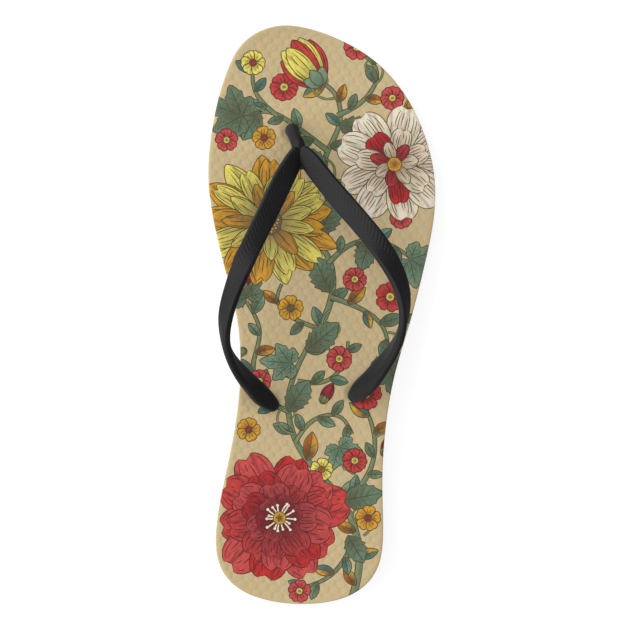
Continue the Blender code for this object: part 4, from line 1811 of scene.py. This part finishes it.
# --- Strap ---------------------------------------------------------------------------------------
@dataclass
class Strap:
    """Moulded thong: two ribbed arms joined to a toe post, with a stem and a plug at each end."""

    form: SoleForm
    medial: tuple[tuple[float, ...], ...] = (
        # x, y, z, width, thickness, roll of the outer face (-30 inward, 90 outward), squareness
        (-9.8, 75.0, 30.0, 6.6, 3.6, -30.0, 3.0),
        (-12.2, 70.3, 31.5, 8.9, 3.4, -34.0, 3.5),
        (-15.7, 63.9, 33.9, 9.9, 3.2, -27.0, 4.2),
        (-24.9, 44.8, 40.8, 9.6, 3.2, -12.0, 4.2),
        (-32.8, 28.5, 47.6, 9.5, 3.2, 8.0, 4.2),
        (-39.5, 12.2, 53.6, 9.8, 3.4, 43.0, 4.2),
        (-43.2, -1.5, 56.3, 9.8, 3.8, 62.0, 4.0),
        (-43.5, -10.0, 55.2, 9.8, 4.0, 81.0, 3.8),
        (-41.8, -17.5, 50.8, 9.8, 4.0, 96.0, 3.5),
        (-36.8, -25.9, 42.0, 9.6, 4.2, 120.0, 3.2),
        (-30.9, -32.6, 31.0, 9.2, 4.9, 148.0, 2.8),
        (-26.0, -37.5, 22.5, 8.9, 6.0, 170.0, 2.3),
        (-22.4, -40.5, 0.0, 6.6, 6.6, 180.0, 2.1),
    )
    lateral: tuple[tuple[float, ...], ...] = (
        (-10.2, 75.4, 30.0, 5.6, 3.6, -22.0, 3.0),
        (-6.1, 70.4, 31.8, 9.0, 3.4, -26.0, 3.5),
        (-1.0, 63.7, 34.2, 9.9, 3.2, -25.0, 4.2),
        (14.75, 44.8, 41.5, 10.0, 3.2, -5.0, 4.2),
        (23.75, 33.9, 46.5, 9.9, 3.2, 9.0, 4.2),
        (31.0, 23.1, 50.8, 10.0, 3.3, 31.0, 4.2),
        (35.8, 12.2, 54.5, 9.9, 3.6, 53.0, 4.2),
        (37.25, 1.3, 56.3, 9.8, 3.8, 76.0, 4.0),
        (36.25, -6.5, 55.0, 9.8, 4.0, 92.0, 3.8),
        (32.9, -15.0, 50.0, 9.8, 4.2, 108.0, 3.5),
        (27.3, -23.0, 41.5, 9.7, 4.4, 131.0, 3.2),
        (21.7, -30.0, 31.5, 9.5, 5.0, 155.0, 2.8),
        (17.4, -34.1, 23.0, 8.8, 6.0, 172.0, 2.3),
        (15.1, -36.4, 0.0, 6.6, 6.6, 180.0, 2.1),
    )
    shoulder_gap: float = 0.3
    post: tuple[tuple[float, ...], ...] = (
        # x, y, z, radius
        (-13.4, 83.3, 11.0, 3.0),
        (-13.4, 83.3, 16.2, 3.0),
        (-12.7, 81.7, 20.9, 3.0),
        (-11.5, 78.9, 26.0, 2.95),
        (-10.2, 75.5, 29.6, 2.9),
        (-9.9, 73.6, 30.3, 2.3),
    )
    web_centre: Triple = (-9.3, 70.3, 28.9)
    web_radii: Triple = (4.2, 5.0, 1.5)
    web_pitch: float = 14.0
    stem_radius: float = 3.0
    stem_overlap: float = 1.2
    plug_radius: float = 8.5
    plug_thick: float = 2.6
    plug_edge: float = 0.7
    plug_recess: float = 0.8
    nose: float = 2.6
    rib_pitch: float = 2.3
    rib_depth: float = 0.13
    rib_border: float = 1.25
    rib_fade: Spot = (-8.0, 2.0)
    rib_start: Spot = (2.5, 5.0)
    rib_soft: float = 0.45
    rib_shoulder: float = 0.7
    tip_steps: tuple[float, ...] = (0.0, 0.03, 0.08, 0.15, 0.24)
    step_first: float = 0.35
    step_fine: float = 0.25
    step_plain: float = 0.5
    dense: int = 1600
    plunge: Spot = (4.0, 0.5)
    least_round: Spot = (1e-4, 0.02)  # least share of the nose's and the dome's squared radius
    around: tuple[int, int] = (44, 26)
    face: Spot = (9.8, 3.4)
    face_power: float = 2.0 / 3.0
    face_points: int = 2000
    post_sides: int = 56
    post_rings: int = 60
    post_dense: int = 400
    post_dome: float = 2.4
    web_rings: int = 26
    web_sides: int = 48
    plug_sides: int = 64
    plug_dish: tuple[Spot, ...] = ((0.4, 0.45), (3.0, 0.4), (5.0, 0.05), (5.6, 0.0))
    plug_top: float = 0.2
    plug_neck: float = 0.3
    edge_points: int = 6
    sharp: float = 48.0
    finish: MouldedRubber = MouldedRubber(
        "strap_rubber", "161617", "1B1B1C", (0.34, 0.44), 0.5, Grain(0.5, 3.0, 0.6), 0.15,
    )

    def section(self) -> Array:
        """Angles round the band's section, close together on the outer face and even elsewhere.

        Returns:
            The angles.
        """
        fine = np.linspace(0.0, 2.0 * np.pi, 2 * self.face_points + 1)
        x = self.face[0] / 2.0 * signed_power(np.cos(fine), self.face_power)
        y = self.face[1] / 2.0 * signed_power(np.sin(fine), self.face_power)
        along = arc_lengths(np.column_stack([x, y]))
        side = along[self.face_points]
        outer = np.linspace(along[0], side, self.around[0], endpoint=False)
        inner = np.linspace(side, along[-1], self.around[1], endpoint=False)
        return np.interp(np.concatenate([outer, inner]), along, fine)

    def ribs(self, across: Array, along: Array, half: Array, y: Array) -> Array:
        """Depth of the chevron grooves cut into the outer face.

        The phase is the distance along the arm plus the distance from its middle line, over the
        pitch, so each groove is a V that points to the heel; its depth is the squared sine of
        the phase, held off the borders and faded in after the joint and out over the arch.

        Args:
            across: place across the band.
            along: distance along the arm.
            half: half the band's width.
            y: place along the sole.

        Returns:
            Depth at each.
        """
        phase = (along + np.abs(across)) / self.rib_pitch
        groove = np.sin(np.pi * phase) ** 2
        border = 1.0 - smooth_step(-self.rib_soft, self.rib_soft, np.abs(across) - (half - self.rib_border))
        fade = smooth_step(*self.rib_fade, y) * smooth_step(*self.rib_start, along)
        return self.rib_depth * groove * border * fade

    def arm(self, name: str, rows: Sequence[Sequence[float]], side: float) -> Piece:
        """One arm, swept along its spline.

        Each section is a superellipse across the band's own width and thickness directions;
        these turn about the path by the roll, and heading and roll are splined with the path.

        Args:
            name: the object's name.
            rows: its table of sections.
            side: 1 lateral, -1 medial.

        Returns:
            The solid.
        """
        table = np.array(rows)
        end = table[-1:, :2]
        table[-1, 2] = self.form.top(end)[0] + self.shoulder_gap
        near = np.clip(np.arange(len(table))[:, None] + np.array([-1, 1]), 0, len(table) - 1)
        run = table[near[:, 1], :2] - table[near[:, 0], :2]
        heading = np.unwrap(np.arctan2(run[:, 1], run[:, 0]))
        dense = cubic(np.column_stack([table, heading]), self.dense)
        along = arc_lengths(dense[:, :3])
        total = along[-1]
        ribbed = np.interp(self.rib_fade[0], dense[::-1, 1], along[::-1])
        steps = np.concatenate([
            self.tip_steps, np.arange(self.step_first, ribbed, self.step_fine),
            np.arange(ribbed, total, self.step_plain), [total],
        ])
        path = at_lengths(dense, steps)
        centre, width, thick = path[:, :3], path[:, 3], path[:, 4]
        tangent = unit(np.gradient(centre, steps, axis=0))
        down = smooth_step(total - self.plunge[0], total - self.plunge[1], steps)[:, None]
        tangent = unit(tangent * (1.0 - down) + np.array([0.0, 0.0, -1.0]) * down)
        heads, roll = path[:, 7], np.radians(path[:, 5])
        outward = side * np.column_stack([-np.sin(heads), np.cos(heads), np.zeros(len(heads))])
        outward = unit(outward - tangent * np.sum(outward * tangent, axis=1, keepdims=True))
        up = -side * np.cross(outward, tangent)
        cos, sin = np.cos(roll)[:, None], np.sin(roll)[:, None]
        across, out = cos * outward - sin * up, cos * up + sin * outward
        angles = self.section()
        power = (2.0 / path[:, 6])[:, None]
        nose = self.rounding(steps, self.nose, self.least_round[0])[:, None]
        wide, deep = width[:, None] / 2.0, thick[:, None] / 2.0
        u = wide * signed_power(np.cos(angles), power) * nose
        v = deep * signed_power(np.sin(angles), power) * nose
        cut = self.ribs(u, steps[:, None], wide, centre[:, 1][:, None])
        cut = cut * smooth_step(0.0, self.rib_shoulder, v / deep)
        v = v - np.where(np.sin(angles)[None] > 0.0, cut, 0.0)
        rings = centre[:, None] + u[..., None] * across[:, None] + v[..., None] * out[:, None]
        return self.tube(name, rings if side > 0 else rings[:, ::-1])

    def rounding(self, run: Array, reach: float, least: float) -> Array:
        """Share of the full radius on a quarter round, at a run from its tip."""
        return np.sqrt(np.clip(1.0 - (1.0 - run / reach).clip(0.0) ** 2, least, 1.0))

    def tube(self, name: str, rings: Array) -> Piece:
        """Closed solid through rings, with a fan from the middle of each end.

        Args:
            name: the object's name.
            rings: rows of points round the solid, from end to end.

        Returns:
            The solid.
        """
        count, sides = rings.shape[:2]
        shell, none = Shell(), np.zeros(3)
        index = shell.add_points(rings.reshape(-1, 3)).reshape(count, sides)
        for low, high in zip(index, index[1:]):
            shell.strip(low, high, none)
        for loop, turn in ((index[0], -1), (index[-1], 1)):
            middle = shell.add_points(np.vstack(shell.points)[loop].mean(axis=0)[None])
            fan = np.column_stack([loop, np.roll(loop, -1), np.repeat(middle, sides)])
            shell.add_faces(fan[:, ::turn], none)
        return shell.build(name)

    def turning(self, centre: Spot, profile: Sequence[Spot], sides: int) -> Array:
        """Rings about a vertical axis, from rows of radius and height."""
        return np.array([np.column_stack([circle(centre, r, sides), np.full(sides, z)]) for r, z in profile])

    def toe_post(self) -> Piece:
        """Round stalk that leans back from its hole and ends in a dome inside the joint.

        Returns:
            The solid.
        """
        dense = cubic(self.post, self.post_dense)
        path = at_lengths(dense, np.linspace(0.0, arc_lengths(dense[:, :3])[-1], self.post_rings))
        tangent = unit(np.gradient(path[:, :3], axis=0))
        tangent[0] = (0.0, 0.0, 1.0)
        first = unit(np.cross((0.0, 1.0, 0.0), tangent))
        second = np.cross(tangent, first)
        angles = np.arange(self.post_sides) * 2.0 * np.pi / self.post_sides
        steps = arc_lengths(path[:, :3])
        dome = self.rounding(steps[-1] - steps, self.post_dome, self.least_round[1])
        radius = (path[:, 3] * dome)[:, None, None]
        cos, sin = np.cos(angles)[None, :, None], np.sin(angles)[None, :, None]
        turn = cos * first[:, None] + sin * second[:, None]
        return self.tube("post", path[:, None, :3] + radius * turn)

    def web(self) -> Piece:
        """Thin lens that fills the fork between the arms.

        Returns:
            The solid.
        """
        heights = np.sin(np.linspace(-np.pi / 2.0, np.pi / 2.0, self.web_rings)[1:-1])
        globe = [(math.sqrt(1.0 - h * h), h) for h in heights]
        rings = self.turning((0.0, 0.0), globe, self.web_sides) * np.array(self.web_radii)
        a = math.radians(-self.web_pitch)
        tilt = np.array([[1.0, 0.0, 0.0], [0.0, math.cos(a), math.sin(a)], [0.0, -math.sin(a), math.cos(a)]])
        return self.tube("web", rings @ tilt + np.array(self.web_centre))

    def plug(self, name: str, centre: Spot) -> Piece:
        """Plug disc under the sole, with a shallow dished face, and its stem.

        Args:
            name: which hole.
            centre: its middle.

        Returns:
            The solid.
        """
        floor = float(self.form.underside(np.array([centre]))[0])
        low, high = floor + self.plug_recess, floor + self.plug_recess + self.plug_thick
        top = float(self.form.top(np.array([centre]))[0])
        top += -self.stem_overlap if name == "toe" else self.stem_overlap
        edge, wide = self.plug_edge, self.plug_radius
        slim, lip, neck = self.stem_radius, self.plug_top, self.plug_neck
        profile = [(radius, low + up) for radius, up in self.plug_dish]
        for t in np.linspace(0.0, math.pi / 2.0, self.edge_points):
            profile.append((wide - edge * (1.0 - math.sin(t)), low + edge * (1.0 - math.cos(t))))
        profile += [(wide, high - lip), (wide - lip, high), (slim + neck, high)]
        profile += [(slim, high + neck), (slim, top)]
        return self.tube(f"stem_{name}", self.turning(centre, profile, self.plug_sides))

    def build(self) -> Piece:
        """Arms, web, post and stems joined into one closed solid.

        Returns:
            The piece.
        """
        parts = [
            self.arm("medial", self.medial, -1.0), self.arm("lateral", self.lateral, 1.0),
            self.web(), self.toe_post(), *(self.plug(n, c) for n, c in HOLES.items()),
        ]
        whole = parts[0]
        for part in parts[1:]:
            joint = whole.modifiers.new(f"join_{part.name}", "BOOLEAN")
            joint.operation, joint.solver, joint.object = "UNION", "EXACT", part
        depsgraph = bpy.context.evaluated_depsgraph_get()
        mesh = bpy.data.meshes.new_from_object(whole.evaluated_get(depsgraph))
        for part in parts:
            bpy.data.objects.remove(part)
        mesh.name = "strap_moulded"
        mesh.shade_smooth()
        mesh.set_sharp_from_angle(angle=math.radians(self.sharp))
        piece = linked("strap_moulded", mesh)
        piece.data.materials.clear()
        piece.data.materials.append(self.finish.material())
        return piece


# --- Studio --------------------------------------------------------------------------------------
@dataclass(frozen=True)
class SoftLight:
    """Rectangular light aimed at the middle of the shoe; metres and watts."""

    name: str
    place: Triple
    size: Spot
    power: float


@dataclass
class Studio:
    """Pale floor, soft light from the medial side and a long lens straight above."""

    frame_side: float = 0.2913
    lens: float = 1000.0
    sensor: float = 36.0
    aim: Triple = (0.0001, -0.0033, 0.016)
    clip: Spot = (0.1, 100.0)
    floor_side: float = 6.0
    floor_grey: float = 0.4
    floor_glow: float = 0.78
    floor_rough: float = 0.9
    floor_specular: float = 0.1
    lights: tuple[SoftLight, ...] = (
        SoftLight("soft_left", (-1.5, 0.45, 1.0), (4.0, 2.6), 65.5),
        SoftLight("fill_above", (0.5, 0.0, 1.9), (2.4, 2.4), 26.0),
    )
    ambient: float = 0.06
    wall_glow: float = 1.0
    dim_glow: float = 0.14
    wall_edge: Spot = (-0.24, 0.26)
    low_share: float = 0.3
    low_edge: Spot = (-0.3, 0.2)

    def camera(self, low: Vector, high: Vector) -> None:
        """Camera nearly above the middle of the shoe, looking straight down, toe at the top.

        Args:
            low: the CAD box's lowest corner.
            high: the CAD box's highest corner.
        """
        data = bpy.data.cameras.new("camera")
        data.lens, data.sensor_width = self.lens, self.sensor
        distance = self.frame_side * self.lens / self.sensor
        data.clip_start, data.clip_end = self.clip
        obj = bpy.data.objects.new("camera", data)
        middle = (low + high) / 2.0
        obj.location = (middle.x + self.aim[0], middle.y + self.aim[1], distance + self.aim[2])
        bpy.context.scene.collection.objects.link(obj)
        bpy.context.scene.camera = obj

    def floor(self) -> None:
        """Pale floor, softly lit from below so that its shadows stay faint."""
        side = self.floor_side / 2.0
        mesh = bpy.data.meshes.new("floor")
        corners = [(-side, -side, 0.0), (side, -side, 0.0), (side, side, 0.0), (-side, side, 0.0)]
        mesh.from_pydata(corners, [], [(0, 1, 2, 3)])
        piece = linked("floor", mesh)
        sheet = NodeSheet(bpy.data.materials.new("floor_white"))
        piece.data.materials.append(sheet.finish({
            "Base Color": (*[self.floor_grey] * 3, 1.0), "Roughness": self.floor_rough,
            "Specular IOR Level": self.floor_specular,
            "Emission Color": (1.0, 1.0, 1.0, 1.0), "Emission Strength": self.floor_glow,
        }))
        piece.visible_glossy = False

    def area(self, light: SoftLight) -> None:
        """Set up a soft light, left out of reflections.

        Args:
            light: what it is and where it stands.
        """
        data = bpy.data.lights.new(light.name, "AREA")
        data.shape, data.size, data.size_y, data.energy = "RECTANGLE", *light.size, light.power
        obj = bpy.data.objects.new(light.name, data)
        obj.location = light.place
        obj.rotation_euler = (-Vector(light.place)).to_track_quat("-Z", "Y").to_euler()
        obj.visible_glossy = False
        bpy.context.scene.collection.objects.link(obj)

    def build(self, low: Vector, high: Vector) -> None:
        """Camera, floor, world and lights.

        Args:
            low: the CAD box's lowest corner.
            high: the CAD box's highest corner.
        """
        self.camera(low, high)
        self.floor()
        for light in self.lights:
            self.area(light)
        self.surround()
        bpy.context.scene.view_settings.view_transform = "Standard"

    def surround(self) -> None:
        """World: dim for soft light; in gloss, a broad pale wall on the medial side."""
        world = bpy.data.worlds.new("studio")
        sheet = NodeSheet(world)
        way = sheet.add("ShaderNodeTexCoord", {}, {}, "Generated")
        split = {axis: sheet.add("ShaderNodeSeparateXYZ", {}, {0: way}, axis) for axis in "XZ"}
        wall = sheet.ramp(0.0 - split["X"], *self.wall_edge, smooth=True)
        lift = sheet.ramp(split["Z"], *self.low_edge, smooth=True)
        wall = wall * (self.low_share + (1.0 - self.low_share) * lift)
        gloss = sheet.add("ShaderNodeLightPath", {}, {}, "Is Glossy Ray")
        glow = self.dim_glow + wall * (self.wall_glow - self.dim_glow)
        strength = self.ambient + gloss * (glow - self.ambient)
        shade = sheet.add("ShaderNodeBackground", {}, {"Strength": strength})
        sheet.add("ShaderNodeOutputWorld", {}, {"Surface": shade}, None)
        world.cycles.sampling_method = "NONE"
        bpy.context.scene.world = world


def main() -> None:
    """Build the three pieces and the studio, and report each piece."""
    logging.basicConfig(level=logging.INFO, format="%(name)s: %(message)s")
    form = SoleForm()
    makers: tuple[tuple[Callable[[], Piece], str], ...] = (
        (Footbed(form, FloralPrint().compose()).build, "footbed"),
        (Outsole(form).build, "outsole"),
        (Strap(form).build, "strap"),
    )
    for build, node in makers:
        piece = build()
        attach(piece, BODY)
        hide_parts(node)
        LOG.info("%s: %d faces", piece.name, len(piece.data.polygons))
    Studio().build(*CAD_BOX)


if __name__ == "__main__":
    main()
